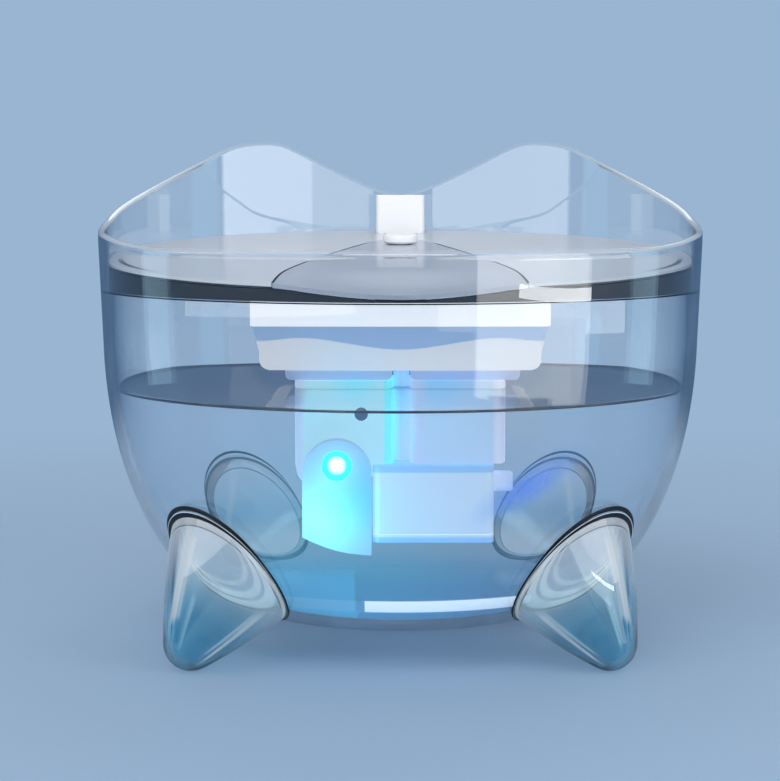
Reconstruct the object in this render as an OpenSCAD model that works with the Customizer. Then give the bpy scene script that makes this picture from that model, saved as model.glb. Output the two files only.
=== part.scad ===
// Pet water fountain: a clear bowl on four ear-shaped feet, with a lift-out frame
// that carries the filter box, the lamp and the pump, and a sloping drinking tray.
// Millimetres, Z up. The origin lies on the table below the middle of the bowl,
// and the low front of the tray faces -Y.

/* [Bowl] */
// Diameter of the clear bowl at its rim
bowl_d = 220; // [200:1:240]
// Height of the front rim above the table
front_rim_h = 143.6; // [139:0.1:150]
// Height of the two ear peaks of the splash guard above the table
ear_peak_h = 181.6; // [171:0.1:194]
// Gap between the bowl's base and the table
base_lift = 9.1; // [7:0.1:12]
// Diameter of the flat under the bowl
base_flat_d = 94; // [84:1:104]
// Thickness of the bowl's floor and side
bowl_wall = 4; // [3:0.1:5]
// Thickness of the splash guard above the ledge
guard_t = 2.5; // [2:0.1:3]
// Height where the curved bowl turns into the straight guard
brow_h = 107.6; // [103:0.1:113]
// Inset of the bowl at that height, on each side
brow_inset = 1.4; // [0.8:0.1:2]
// Height of the inner ledge that carries the frame
ledge_h = 126.6; // [124:0.1:128]
// Reach of the rim's curve downward from the brow
side_handle = 49.7; // [44:0.1:55]
// Lean of the rim's curve inward from the brow
side_lean = 1.1; // [0.5:0.1:2]
// Reach of the base's curve outward from the flat
base_handle = 39.9; // [36:0.1:44]

/* [Feet] */
// Angle of each foot from the front or rear
foot_azimuth = 45; // [40:1:50]
// Distance from the bowl's middle to the centre of a foot's round tip
foot_tip_reach = 100.4; // [97:0.1:102]
// Radius of a foot's round tip
foot_tip_r = 9.7; // [8.5:0.1:10.5]
// Diameter of the flat that a foot stands on
foot_flat_d = 5; // [4:0.5:6]
// Length of a foot from its tip's centre to its root circle
foot_len = 31.5; // [29:0.5:34]
// Radius of a foot at its root circle
foot_root_r = 26.3; // [23:0.1:28]
// Tilt of a foot's axis from upright, toward the bowl's middle
foot_tilt = 41; // [38:0.5:43]
// Swell of a foot's side beyond a plain cone, as an angle at the tip
foot_swell = 31; // [26:1:34]
// Wall of a foot
foot_wall = 3.2; // [2.4:0.1:4]

/* [Frame] */
// Clearance between the frame and the bowl's wall
frame_gap = 0.4; // [0.3:0.05:0.6]
// Gap left where one lift-off piece rests on another
seat_gap = 0.3; // [0.2:0.05:0.4]
// Width of the frame's ring
ring_w = 4; // [3:0.1:5]
// Thickness of the frame's deck
deck_t = 1.6; // [1.2:0.1:2]
// Width of the deck's border around the filter box
deck_border = 9; // [8:0.5:10]
// Width of the deck's side, front and rear arms
deck_arm_w = 16; // [12:1:20]

/* [Tray] */
// Height of the tray's top above the table, in its middle
tray_mid_h = 138.7; // [138:0.1:141]
// Slope of the tray down to the front, in degrees
tray_tilt = 3.5; // [3:0.1:4]
// Thickness of the tray
tray_t = 1.6; // [1.4:0.1:2]
// Thickness of the floor under the spillway
recess_floor_t = 1.2; // [1:0.1:1.6]
// Width of the spillway at the front
spill_w = 82; // [76:1:92]
// Length of the spillway's outline from the tray's middle to its narrow neck
spill_neck_y = 62; // [60:0.5:66]
// How far the spillway's lip dips at the front
spill_dip = 2.9; // [2:0.1:3.2]
// Thickness of the spillway
spill_t = 1.4; // [1.2:0.1:1.5]
// Distance of the outlet behind the tray's middle
outlet_y = 43; // [40:0.5:45]

/* [Outlet and lid] */
// Diameter of the round outlet button
button_d = 13.6; // [12.5:0.1:15]
// Height of the button above the tray
button_h = 3.4; // [2.8:0.1:4]
// Outer diameter of the outlet tube
outlet_tube_d = 8.4; // [8:0.1:9]
// Bore of the outlet tube
outlet_bore_d = 6.2; // [5.6:0.1:6.6]
// Thickness of the filter box's lid
lid_t = 1.6; // [1.2:0.1:2]

/* [Filter box] */
// Width of the filter box's body
box_w = 100.4; // [97:0.2:102]
// Depth of the filter box, front to rear
box_depth = 80; // [78:0.5:84]
// Distance from the middle to the box's front face
box_front = 25; // [24:0.5:27]
// Height of the box's body bottom above the table
box_bottom_h = 98.4; // [96:0.1:100]
// Height of the box's upper flange
flange_h = 11.3; // [10:0.1:12]
// Extra width of the flange over the body, on each side
flange_out = 3.2; // [2.8:0.1:3.6]
// Height of the tapered band below the flange
band_h = 7.1; // [6:0.1:8]
// Extra width of the tapered band at its top, on each side
band_out = 2.5; // [2:0.1:2.7]
// Wall of the box
box_wall = 1.8; // [1.4:0.1:2.2]
// Radius of the box's lower corners
box_corner_r = 4; // [3:0.5:5]
// Depth of the two shallow tubs under the box
tub_h = 4; // [3:0.1:5]

/* [Columns] */
// Outer width of the left column
left_column_w = 34.3; // [33:0.1:34.6]
// Outer width of the right column
right_column_w = 33.4; // [32:0.1:34]
// Width of the gap between the columns
column_split = 6.8; // [6.6:0.1:7.4]
// Depth of the columns, front to rear
column_depth = 27; // [25:0.5:28]
// Height of the left column
left_column_h = 38.2; // [36:0.1:40]
// Wall of the columns
column_wall = 1.5; // [1.2:0.1:2]
// Bore of the sensor window in the left column
window_d = 5; // [4:0.1:6]

/* [Lamp] */
// Width of the lamp housing
lamp_w = 24.6; // [23.6:0.1:25]
// Height of the lamp's centre above the table
lamp_h = 64.6; // [63:0.1:66]
// Diameter of the lamp's lens
lens_d = 10.8; // [10:0.1:12]
// Side of the square lamp chip
chip_w = 4.4; // [4:0.1:5]
// Depth of the lamp housing's front plate
lamp_plate_t = 6; // [5.5:0.1:7]

/* [Pump] */
// Width of the pump's body
pump_w = 43.3; // [42:0.1:44]
// Depth of the pump's body, front to rear
pump_depth = 33; // [31:0.5:34]
// Height of the pump's body, with its cover
pump_h = 27.4; // [26.4:0.1:28]
// Height of the pump's underside above the table
pump_bottom_h = 36.9; // [36:0.1:38.5]
// Diameter of the impeller
impeller_d = 22; // [19:0.2:22.4]
// Number of blades on the impeller
blades = 6; // [5:1:8]
// Diameter of the rotor magnet
rotor_d = 12; // [11:0.1:12.5]
// Diameter of the pump's shaft
shaft_d = 2; // [1.8:0.1:2.4]
// Diameter of the flow knob
knob_d = 7.6; // [7:0.1:8.4]
// Outer diameter of the riser pipe
riser_d = 5.8; // [5.6:0.1:6]
// Bore of the riser pipe
riser_bore_d = 4.3; // [4.1:0.1:4.4]

/* [Power] */
// Width of the power block at the rear
block_w = 20; // [18:0.5:22]
// Drop of the power block's top below the dip between the ears
block_drop = 0.7; // [0.2:0.1:2.5]
// Depth of the power block, front to rear
block_depth = 14; // [13:0.5:15]
// Bore of the power inlet
inlet_d = 5.5; // [5:0.1:6]
// Depth of the power inlet
inlet_depth = 9; // [8:0.5:11]

/* [Hidden] */
$fn = 96;

// Overrun of every cut past the face it opens
cut = 2;
// A size that reaches past the whole fountain
beyond = 300;
// Points along a free curve
curve_steps = 14;
// Turn between two points of a small round corner
round_step = 15;

// Bowl
bowl_r = bowl_d / 2;
brow_r = bowl_r - brow_inset;
base_r = base_flat_d / 2;
rim_steps = 120;
rear_angle = 180;
// Angle from the front against the share of the rise from front rim to ear peak
rim_rise_shares = [
    [0, 0], [50, 0], [60, 0.03], [70, 0.075], [82, 0.12], [94, 0.205], [103, 0.325],
    [115, 0.485], [125, 0.645], [133, 0.79], [141, 0.95], [148, 1.0], [153, 0.985],
    [158, 0.885], [164, 0.74], [170, 0.6], [176, 0.48], [180, 0.45]
];

// Feet
foot_tip_h = sqrt(foot_tip_r * foot_tip_r - foot_flat_d * foot_flat_d / 4);
foot_side_share = 0.55;
foot_overrun = 12;
tip_steps = 7;

// Frame
ring_bottom = ledge_h + seat_gap;
deck_top = ring_bottom + deck_t;
ring_r = bowl_r_at(ledge_h) - guard_t - frame_gap;
ring_in_r = ring_r - ring_w;

// Tray
tray_inset = 0.12;
tray_r = ring_r - tray_inset;
recess_margin = 2.2;
tilt_gap = seat_gap;
// Distance behind the middle as a share of the neck's, against the half width as a share
spill_shares = [
    [-1.9, 1.0], [-1.28, 0.99], [-0.97, 0.96], [-0.72, 0.9], [-0.35, 0.785], [-0.06, 0.67],
    [0.3, 0.52], [0.52, 0.425], [0.7, 0.345], [0.87, 0.255], [1.0, 0.17], [1.1, 0.159]
];
spill_steps = 30;
spill_gap = 0.3;
dip_start = 48;
dip_run = 46;
recess_front = dip_start - spill_gap;
dip_bow_share = 1.3;
spill_columns = 14;

// Outlet and lid
button_edge_r = 1.4;
button_gap = 0.5;
cap_spigot_l = 7;
cap_fit = 0.3;
spill_hole_gap = 0.6;
lid_lap = 3;
lid_notch_gap = 0.6;
lid_post_d = 6;
lid_post_inset = 6;
gasket_w = 3;
gasket_h = 1.5;
gasket_gap = 0.6;

// Filter box
box_half = box_w / 2;
box_rear = box_depth - box_front;
box_top = ring_bottom;
flange_bottom = box_top - flange_h;
band_bottom = flange_bottom - band_h;
box_in_half = box_half - box_wall;
shoulder_w = 3;
screw_d = 2.4;
screw_head_d = 3.6;
screw_head_h = 1.2;
screw_l = 7;
screw_inset = 2 * screw_head_d;
screw_x = (box_in_half + box_half + flange_out) / 2;
screw_ys = [screw_inset - box_front, box_rear - screw_inset];
tub_gap_left = 2.9;
tub_gap_right = 3.6;
tub_left_w = 38.4;
tub_right_w = 39.3;
tub_corner_r = 2;
tub_inset = 3;
tub_bottom = box_bottom_h - tub_h;

// Columns
column_x = 0.4;
column_corner_r = 3;
left_column_x1 = column_x - column_split / 2;
left_column_x0 = left_column_x1 - left_column_w;
right_column_x0 = column_x + column_split / 2;
right_column_x1 = right_column_x0 + right_column_w;
left_column_round = 8;
window_inset = 11;
window_h = 82.4;
rib_count = 4;
rib_w = 1.2;
rib_out = 0.6;

// Lamp
pump_centre_x = 11.75;
pump_x0 = pump_centre_x - pump_w / 2;
lamp_gap = 0.4;
lamp_x = pump_x0 - lamp_gap - lamp_w / 2;
lamp_front = box_front + lamp_plate_t;
lamp_left_h = 38.8;
lamp_right_h = 32.2;
lamp_back = 12;
lamp_recess = 1.6;
board_t = 0.8;
chip_t = 0.8;
lens_t = 1;
lens_ring_w = 2;

// Pump
pump_front = 31;
pump_top = pump_bottom_h + pump_h;
pump_corner_r = 3;
cover_t = 2.8;
cover_gap = 0.3;
rotor_x = 17;
rotor_y = -14.5;
blade_h = 3.4;
blade_t = 1.4;
disc_t = 1.2;
hub_d = 6;
blade_sweep = 24;
impeller_gap = 0.8;
impeller_z = pump_bottom_h + cover_t + cover_gap + impeller_gap;
volute_h = 6.6;
rotor_h = 12;
rotor_gap = 0.5;
shaft_fit = 0.1;
bush_d = 5;
bush_h = 1.4;
stator_out_d = 23;
stator_h = 5.6;
coil_d = 27;
coil_in_d = 17;
duct_d = 3.6;
nipple_d = 4;
nipple_bore_d = 2.6;
nipple_h = 5;
riser_x = column_x;
riser_y = -14.4;
riser_gap = 0.3;
slot_w = 1.8;
slot_pitch = 3.8;
slot_count = 5;
slot_reach_d = 20;
knob_l = 6.7;
knob_y = -14;
knob_h = 56.8;
stem_d = 3.6;
stem_l = 6;
stem_fit = 0.12;
knob_rib_w = 1.2;

// Power
block_top_h = rim_h(rear_angle) - block_drop;
block_setback = 1.04;
block_front = bowl_r - guard_t - frame_gap - block_setback - block_depth;
block_gap = 0.3;
block_corner_r = 2;
socket_d = 8;

// Curves and outlines

// Radius of the bowl's outside at a height above the brow
function bowl_r_at(h) = min(bowl_r, brow_r + brow_inset * (h - brow_h) / (front_rim_h - brow_h));

// A point and a direction on a cubic curve
function cubic(p, t) = pow(1 - t, 3) * p[0] + 3 * pow(1 - t, 2) * t * p[1]
    + 3 * (1 - t) * t * t * p[2] + pow(t, 3) * p[3];
function cubic_way(p, t) = pow(1 - t, 2) * (p[1] - p[0]) + 2 * (1 - t) * t * (p[2] - p[1])
    + t * t * (p[3] - p[2]);

// The bowl's side from the brow to its flat, set in by a wall
side_curve = [
    [brow_r, brow_h],
    [brow_r - side_lean, brow_h - side_handle],
    [base_r + base_handle, base_lift],
    [base_r, base_lift]
];
function side_point(t, inset) = let (way = cubic_way(side_curve, t))
    cubic(side_curve, t) + inset * [way[1], -way[0]] / norm(way);
function side_points(inset) = [for (i = [0:curve_steps]) side_point(i / curve_steps, inset)];

// A value between two rows of a table, smooth at both
function smooth(t) = t <= 0 ? 0 : t >= 1 ? 1 : t * t * (3 - 2 * t);

// A quadratic curve's point
function bend(a, b, c, t) = (1 - t) * (1 - t) * a + 2 * (1 - t) * t * b + t * t * c;

// Slope of a table at one of its rows
function row_slope(table, i) = i == 0 || i == len(table) - 1 ? 0
    : (table[i + 1][1] - table[i - 1][1]) / (table[i + 1][0] - table[i - 1][0]);

// A table read with a smooth curve through its rows
function read_table(table, x) = let (
    i = max([for (k = [0:len(table) - 2]) table[k][0] <= x ? k : 0]),
    wide = table[i + 1][0] - table[i][0],
    t = (x - table[i][0]) / wide,
    a = row_slope(table, i) * wide,
    b = row_slope(table, i + 1) * wide
) table[i][1] + t * a + t * t * (3 * (table[i + 1][1] - table[i][1]) - 2 * a - b)
    + t * t * t * (a + b - 2 * (table[i + 1][1] - table[i][1]));

// Height of the rim at an angle from the front, from 0 to 360
function rim_h(angle) = front_rim_h + (ear_peak_h - front_rim_h)
    * read_table(rim_rise_shares, min(angle, 360 - angle));

// Half width of the spillway at a place along Y, where Y grows to the rear
function spill_half(y) = spill_w / 2 * read_table(spill_shares, min(y / spill_neck_y, spill_shares_end));
spill_shares_end = spill_shares[len(spill_shares) - 1][0];
spill_front = bowl_r + cut;
spill_rear = block_front - block_gap;
spill_ys = [for (i = [0:spill_steps]) spill_neck_y * spill_shares_end * (1 - i / spill_steps)
    - spill_front * i / spill_steps];

// The spillway's outline with its straight neck, grown by a margin
function spill_outline(grow) = concat(
    [[spill_half(spill_rear) + grow, spill_rear + grow]],
    [for (y = spill_ys) [spill_half(y) + grow, y]],
    [for (i = [spill_steps:-1:0]) [-spill_half(spill_ys[i]) - grow, spill_ys[i]]],
    [[-spill_half(spill_rear) - grow, spill_rear + grow]]
);

// Dip of the spillway's lip at a place on the tray
function lip_dip(x, y) = spill_dip * lip_bow(2 * x / spill_w) * smooth((-y - dip_start) / dip_run);

// Bow of the lip across its width, from 1 in the middle to 0 at the seams
function lip_bow(across) = pow(sin(90 * max(0, 1 - abs(across))), dip_bow_share);

// Shared shapes

module centred_box(size, z0, z1) {
    translate([-size[0] / 2, -size[1] / 2, z0]) cube([size[0], size[1], z1 - z0]);
}

module block(x0, x1, y0, y1, z0, z1) {
    translate([x0, y0, z0]) cube([x1 - x0, y1 - y0, z1 - z0]);
}

module tube(outer_d, inner_d, h) {
    difference() {
        cylinder(d = outer_d, h = h);
        translate([0, 0, -cut]) cylinder(d = inner_d, h = h + 2 * cut);
    }
}

// An upright block with round corners, seen from above
module round_block(x0, x1, y0, y1, z0, z1, r) {
    translate([0, 0, z0]) linear_extrude(z1 - z0) {
        translate([x0 + r, y0]) square([x1 - x0 - 2 * r, y1 - y0]);
        translate([x0, y0 + r]) square([x1 - x0, y1 - y0 - 2 * r]);
        for (x = [x0 + r, x1 - r], y = [y0 + r, y1 - r])
            translate([x, y]) circle(r = r);
    }
}

// A 2D outline in X and Z, drawn out along Y between two depths
module front_extrude(y0, y1) {
    translate([0, y1, 0]) rotate([90, 0, 0]) linear_extrude(y1 - y0) children();
}

// Places its children in the tray's sloping plane
module on_tray() {
    translate([0, 0, tray_mid_h]) rotate([tray_tilt, 0, 0]) children();
}

module tray_slab(z0, z1) {
    on_tray() centred_box([beyond, beyond], z0, z1);
}

// The bowl's full outside, as one solid
module bowl_outside(top) {
    rotate_extrude()
        polygon(concat(
            [[0, base_lift], [0, top], [bowl_r_at(top), top], [bowl_r, front_rim_h]],
            side_points(0)
        ));
}

module bowl_inside(top) {
    under_ledge = brow_r - bowl_wall;
    rotate_extrude()
        polygon(concat(
            [[0, base_lift + bowl_wall], [0, top], [bowl_r - guard_t, top]],
            [[bowl_r - guard_t, front_rim_h], [bowl_r_at(ledge_h) - guard_t, ledge_h]],
            [[under_ledge, ledge_h]],
            side_points(bowl_wall)
        ));
}

// The space above the rim's outline
module above_rim() {
    r0 = bowl_r - guard_t - 2 * cut;
    r1 = bowl_r + cut;
    top = ear_peak_h + 2 * cut;
    angles = [for (i = [0:rim_steps - 1]) 360 * i / rim_steps];
    corners = [for (a = angles) each [
        [r0 * sin(a), -r0 * cos(a), rim_h(a)],
        [r1 * sin(a), -r1 * cos(a), rim_h(a)],
        [r1 * sin(a), -r1 * cos(a), top],
        [r0 * sin(a), -r0 * cos(a), top]
    ]];
    sides = [for (i = [0:rim_steps - 1]) let (a = 4 * i, b = 4 * ((i + 1) % rim_steps)) each [
        [a, a + 1, b + 1], [a, b + 1, b],
        [a + 1, a + 2, b + 2], [a + 1, b + 2, b + 1],
        [a + 2, a + 3, b + 3], [a + 2, b + 3, b + 2],
        [a + 3, a, b], [a + 3, b, b + 3]
    ]];
    polyhedron(corners, sides, convexity = 6);
}

module bowl() {
    color("lightcyan", 0.35) difference() {
        bowl_outside(ear_peak_h + cut);
        bowl_inside(ear_peak_h + 2 * cut);
        above_rim();
    }
}

// A foot's side from its round tip to its root, thinned by a wall
function foot_profile(inset) = let (
    r = foot_tip_r - inset,
    start = [r * cos(foot_swell), -r * sin(foot_swell)],
    root = [foot_root_r - inset, foot_len],
    handle = start + foot_side_share * foot_len * [sin(foot_swell), cos(foot_swell)],
    way = (root - handle) / norm(root - handle)
) concat(
    [for (i = [0:tip_steps]) let (a = -90 + (90 - foot_swell) * i / tip_steps) [r * cos(a), r * sin(a)]],
    [for (i = [1:tip_steps]) bend(start, handle, root, i / tip_steps)],
    [root + foot_overrun * way, [0, foot_len + foot_overrun * way[1]]]
);

module foot(side, end) {
    turn = end > 0 ? 180 - foot_azimuth : foot_azimuth;
    color("lightcyan", 0.35) difference() {
        rotate([0, 0, -90 + side * turn])
            translate([foot_tip_reach, 0, foot_tip_h])
                rotate([0, -foot_tilt, 0])
                    difference() {
                        rotate_extrude() polygon(foot_profile(0));
                        rotate_extrude() polygon(foot_profile(foot_wall));
                    }
        bowl_outside(brow_h);
        centred_box([beyond, beyond], -foot_tip_r, 0);
    }
}

module foot_front_left() {
    foot(-1, -1);
}

module foot_front_right() {
    foot(1, -1);
}

module foot_rear_left() {
    foot(-1, 1);
}

module foot_rear_right() {
    foot(1, 1);
}

// Frame, power block and filter box

// Depths of the deck's opening over the filter box
opening_y0 = box_wall - box_front;
opening_y1 = box_rear - box_wall;

module support_ring() {
    color("midnightblue") difference() {
        union() {
            difference() {
                translate([0, 0, ring_bottom]) cylinder(r = ring_r, h = ear_peak_h - ring_bottom);
                translate([0, 0, ring_bottom - cut]) cylinder(r = ring_in_r, h = ear_peak_h);
                tray_slab(-tray_t - tilt_gap, beyond);
            }
            intersection() {
                translate([0, 0, ring_bottom]) cylinder(r = ring_r - frame_gap, h = deck_t);
                union() {
                    block(-box_half - deck_border, box_half + deck_border,
                        -box_front - deck_border, box_rear + deck_border, ring_bottom, deck_top);
                    centred_box([beyond, deck_arm_w], ring_bottom, deck_top);
                    centred_box([deck_arm_w, beyond], ring_bottom, deck_top);
                    block(-block_w, block_w, box_rear, beyond, ring_bottom, deck_top);
                }
            }
        }
        block(-box_in_half, box_in_half, opening_y0, opening_y1, ring_bottom - cut, deck_top + cut);
        screw_places() cylinder(d = screw_d, h = 2 * cut + deck_t);
        ring_notch();
        block_notch();
    }
}

// Clears the ring under the spillway's dipped lip
module ring_notch() {
    half = spill_w / 2 + spill_gap;
    steps = 20;
    lip = [for (i = [0:steps]) let (across = 2 * i / steps - 1)
        [half * across, -tray_t - tilt_gap - spill_dip * lip_bow(across)]];
    on_tray() front_extrude(-bowl_d, -recess_front)
        polygon(concat([[-half, ring_w]], lip, [[half, ring_w]]));
}

module screw_places() {
    for (side = [-1, 1], y = screw_ys)
        translate([side * screw_x, y, ring_bottom - cut]) children();
}

module box_screws() {
    color("silver") screw_places() {
        translate([0, 0, cut - screw_l]) cylinder(d = screw_d, h = screw_l + deck_t);
        translate([0, 0, cut + deck_t]) cylinder(d = screw_head_d, h = screw_head_h);
    }
}

module power_block() {
    color("white") difference() {
        round_block(-block_w / 2, block_w / 2, block_front, block_front + block_depth,
            deck_top, block_top_h, block_corner_r);
        translate([0, block_front + block_depth / 2, block_top_h - inlet_depth - deck_t])
            cylinder(d = socket_d, h = inlet_depth + deck_t + cut);
    }
}

module inlet_socket() {
    color("gray") translate([0, block_front + block_depth / 2, block_top_h - inlet_depth - deck_t])
        difference() {
            cylinder(d = socket_d, h = inlet_depth + deck_t);
            translate([0, 0, deck_t]) cylinder(d = inlet_d, h = inlet_depth + cut);
        }
}

// Half of the filter box's outline, seen from the front, thinned by a wall
function box_side(side, wall) = let (
    r = box_corner_r - wall / 2,
    x = box_half - wall,
    z = box_bottom_h + wall
) [
    [side * (box_half + flange_out - wall), box_top],
    [side * (box_half + flange_out - wall), flange_bottom],
    [side * (box_half + band_out - wall), flange_bottom],
    [side * (x + band_out / 4), band_bottom],
    [side * x, band_bottom - band_out],
    for (a = [0:round_step:90]) [side * (x - r + r * cos(a)), z + r - r * sin(a)]
];

function reversed(list) = [for (i = [len(list) - 1:-1:0]) list[i]];

module tub_outline(x0, x1) {
    r = tub_corner_r;
    polygon(concat(
        [[x0, box_bottom_h], [x1, box_bottom_h]],
        [for (a = [0:2 * round_step:90]) [x1 - r + r * cos(a), tub_bottom + r - r * sin(a)]],
        [for (a = [90:-2 * round_step:0]) [x0 + r - r * cos(a), tub_bottom + r - r * sin(a)]]
    ));
}

module filter_box() {
    color("white") difference() {
        union() {
            difference() {
                front_extrude(-box_front, box_rear)
                    polygon(concat(box_side(1, 0), reversed(box_side(-1, 0))));
                box_hollow();
            }
            for (side = [-1, 1])
                block(min(side * box_half, side * (box_in_half - shoulder_w)),
                    max(side * box_half, side * (box_in_half - shoulder_w)),
                    opening_y0, opening_y1, box_bottom_h + box_corner_r, box_bottom_h + box_corner_r + shoulder_w);
            front_extrude(tub_inset - box_front, box_rear - tub_inset) {
                tub_outline(-tub_gap_left - tub_left_w, -tub_gap_left);
                tub_outline(tub_gap_right, tub_gap_right + tub_right_w);
            }
        }
        screw_places() translate([0, 0, cut - screw_l]) cylinder(d = screw_d, h = screw_l + cut);
        translate([riser_x, riser_y, tub_bottom]) cylinder(d = riser_d, h = tub_h + box_wall + cut);
    }
}

// The hollow of the filter box, as wide as the deck's opening
module box_hollow() {
    r = box_corner_r - box_wall / 2;
    x = box_in_half;
    z = box_bottom_h + box_wall;
    front_extrude(opening_y0, opening_y1)
        polygon(concat(
            [[-x, box_top + cut], [x, box_top + cut]],
            [for (a = [0:round_step:90]) [x - r + r * cos(a), z + r - r * sin(a)]],
            [for (a = [90:-round_step:0]) [-x + r - r * cos(a), z + r - r * sin(a)]]
        ));
}

module column_shell(x0, x1, z0) {
    rib_pitch = column_depth / (rib_count + 1);
    y0 = -box_front;
    y1 = column_depth - box_front;
    difference() {
        union() {
            round_block(x0, x1, y0, y1, z0, tub_bottom, column_corner_r);
            for (side = [0, 1], n = [1:rib_count])
                block(side ? x1 - cut : x0 - rib_out, side ? x1 + rib_out : x0 + cut,
                    y0 + n * rib_pitch - rib_w / 2, y0 + n * rib_pitch + rib_w / 2, z0, tub_bottom);
        }
        round_block(x0 + column_wall, x1 - column_wall, y0 + column_wall, y1 - column_wall,
            z0 - cut, tub_bottom - column_wall, column_corner_r - column_wall);
        translate([riser_x, riser_y, z0 - cut]) cylinder(d = riser_d + riser_gap, h = beyond);
    }
}

// The left column, which reaches down beside the pump and has a round outer corner there
module left_column() {
    bottom = tub_bottom - left_column_h;
    r = left_column_round;
    x0 = left_column_x0 - rib_out;
    x1 = left_column_x1 + rib_out;
    x_pump = pump_x0 - lamp_gap;
    step = pump_top + seat_gap;
    color("powderblue", 0.7) difference() {
        intersection() {
            column_shell(left_column_x0, left_column_x1, bottom);
            front_extrude(-bowl_r, bowl_r) polygon(concat(
                [[x0, tub_bottom], [x1, tub_bottom], [x1, step], [x_pump, step], [x_pump, bottom]],
                [for (a = [0:round_step:90]) [x0 + r - r * sin(a), bottom + r - r * cos(a)]]
            ));
        }
        translate([left_column_x1 - window_inset, -box_front - cut, window_h])
            rotate([-90, 0, 0]) cylinder(d = window_d, h = cut + column_wall + cut);
    }
}

module right_column() {
    color("white", 0.8) column_shell(right_column_x0, right_column_x1, pump_top + seat_gap);
}

module riser_pipe() {
    bottom = pump_top + seat_gap;
    color("white") translate([riser_x, riser_y, bottom])
        tube(riser_d, riser_bore_d, box_bottom_h + box_wall - bottom);
}

// Lamp

module lamp_outline() {
    r = lamp_w / 2;
    arch = [for (a = [0:10:180]) [lamp_x + r * cos(a), lamp_h - r / 4 + r * sin(a)]];
    sag = (lamp_left_h - lamp_right_h) / 4;
    foot_line = [for (i = [0:6]) let (t = i / 6)
        [lamp_x - r + 2 * r * t, lamp_left_h + (lamp_right_h - lamp_left_h) * t - sag * sin(180 * t)]];
    polygon(concat(arch, foot_line));
}

module lamp_housing() {
    column_bottom = tub_bottom - left_column_h;
    r = lamp_w / 2;
    color("white") difference() {
        union() {
            front_extrude(-lamp_front, -box_front) lamp_outline();
            intersection() {
                front_extrude(-lamp_front, -lamp_back) lamp_outline();
                block(-beyond, beyond, -beyond, beyond, 0, column_bottom);
            }
        }
        translate([lamp_x, -lamp_front - cut, lamp_h]) rotate([-90, 0, 0])
            cylinder(d = lens_d, h = cut + lamp_recess + board_t);
    }
}

module lamp_board() {
    y = -lamp_front + lamp_recess;
    color("white") {
        translate([lamp_x, y, lamp_h]) rotate([-90, 0, 0]) cylinder(d = lens_d, h = board_t);
        block(lamp_x - chip_w / 2, lamp_x + chip_w / 2, y - chip_t, y + board_t / 2,
            lamp_h - chip_w / 2, lamp_h + chip_w / 2);
    }
}

module lamp_lens() {
    color("cyan") translate([lamp_x, -lamp_front + lamp_recess - lens_t, lamp_h])
        rotate([-90, 0, 0]) tube(lens_d, lens_d - 2 * lens_ring_w, lens_t);
}

// Tray, spillway and outlet

module outlet_place() {
    translate([0, outlet_y, 0]) children();
}

module block_notch() {
    block(-block_w / 2 - block_gap, block_w / 2 + block_gap, block_front - block_gap, beyond,
        deck_top, ear_peak_h);
}

module tray() {
    color("lightsteelblue") difference() {
        union() {
            intersection() {
                translate([0, 0, ring_bottom]) cylinder(r = tray_r, h = ear_peak_h - ring_bottom);
                tray_slab(-tray_t, 0);
            }
            intersection() {
                translate([0, 0, ring_bottom]) cylinder(r = ring_in_r - frame_gap, h = ear_peak_h - ring_bottom);
                on_tray() translate([0, 0, -tray_t - recess_floor_t]) linear_extrude(recess_floor_t + tray_t / 2)
                    polygon(spill_outline(recess_margin));
                block(-beyond, beyond, -recess_front, beyond, 0, beyond);
            }
        }
        on_tray() translate([0, 0, -tray_t]) linear_extrude(tray_t + cut) polygon(spill_outline(0));
        intersection() {
            on_tray() translate([0, 0, -tray_t - cut]) linear_extrude(tray_t + 2 * cut)
                polygon(spill_outline(0));
            block(-beyond, beyond, -beyond, -recess_front, 0, beyond);
        }
        block_notch();
        outlet_place() cylinder(d = outlet_tube_d, h = beyond);
    }
}

// A thin sheet whose front lip dips
module spillway() {
    n = spill_columns;
    rows = concat([spill_rear - block_gap], spill_ys);
    top = [for (y = rows, k = [0:n]) let (x = (spill_half(y) - spill_gap) * (2 * k / n - 1))
        [x, y, -lip_dip(x, y)]];
    under = [for (p = top) p - [0, 0, spill_t]];
    count = len(top);
    last = len(rows) - 1;
    faces = concat(
        [for (i = [0:last - 1], k = [0:n - 1]) let (a = i * (n + 1) + k, b = a + n + 1) each
            [[a, b, a + 1], [a + 1, b, b + 1],
            [count + a, count + a + 1, count + b], [count + a + 1, count + b + 1, count + b]]],
        [for (i = [0:last - 1]) let (a = i * (n + 1), b = a + n + 1) each
            [[a, count + b, b], [a, count + a, count + b],
            [a + n, b + n, count + b + n], [a + n, count + b + n, count + a + n]]],
        [for (k = [0:n - 1]) let (b = last * (n + 1) + k) each
            [[k, k + 1, count + k + 1], [k, count + k + 1, count + k],
            [b, count + b + 1, b + 1], [b, count + b, count + b + 1]]]
    );
    color("lightsteelblue") difference() {
        intersection() {
            translate([0, 0, ring_bottom]) cylinder(r = tray_r, h = ear_peak_h - ring_bottom);
            on_tray() polyhedron(concat(top, under), faces, convexity = 4);
        }
        outlet_place() cylinder(d = outlet_tube_d + 2 * spill_hole_gap, h = beyond);
    }
}

module outlet_cap() {
    tube_top = outlet_top();
    r = button_d / 2;
    e = button_edge_r;
    color("white") {
        on_tray() translate([0, outlet_y / cos(tray_tilt), button_gap]) rotate_extrude()
            polygon(concat(
                [[0, 0], [r - e / 2, 0], [r, e / 2]],
                [for (a = [0:round_step:90]) [r - e + e * cos(a), button_h - e + e * sin(a)]],
                [[0, button_h]]
            ));
        outlet_place() translate([0, 0, tube_top - cap_spigot_l])
            cylinder(d = outlet_bore_d - 2 * cap_fit, h = cap_spigot_l + button_h);
    }
}

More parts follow.
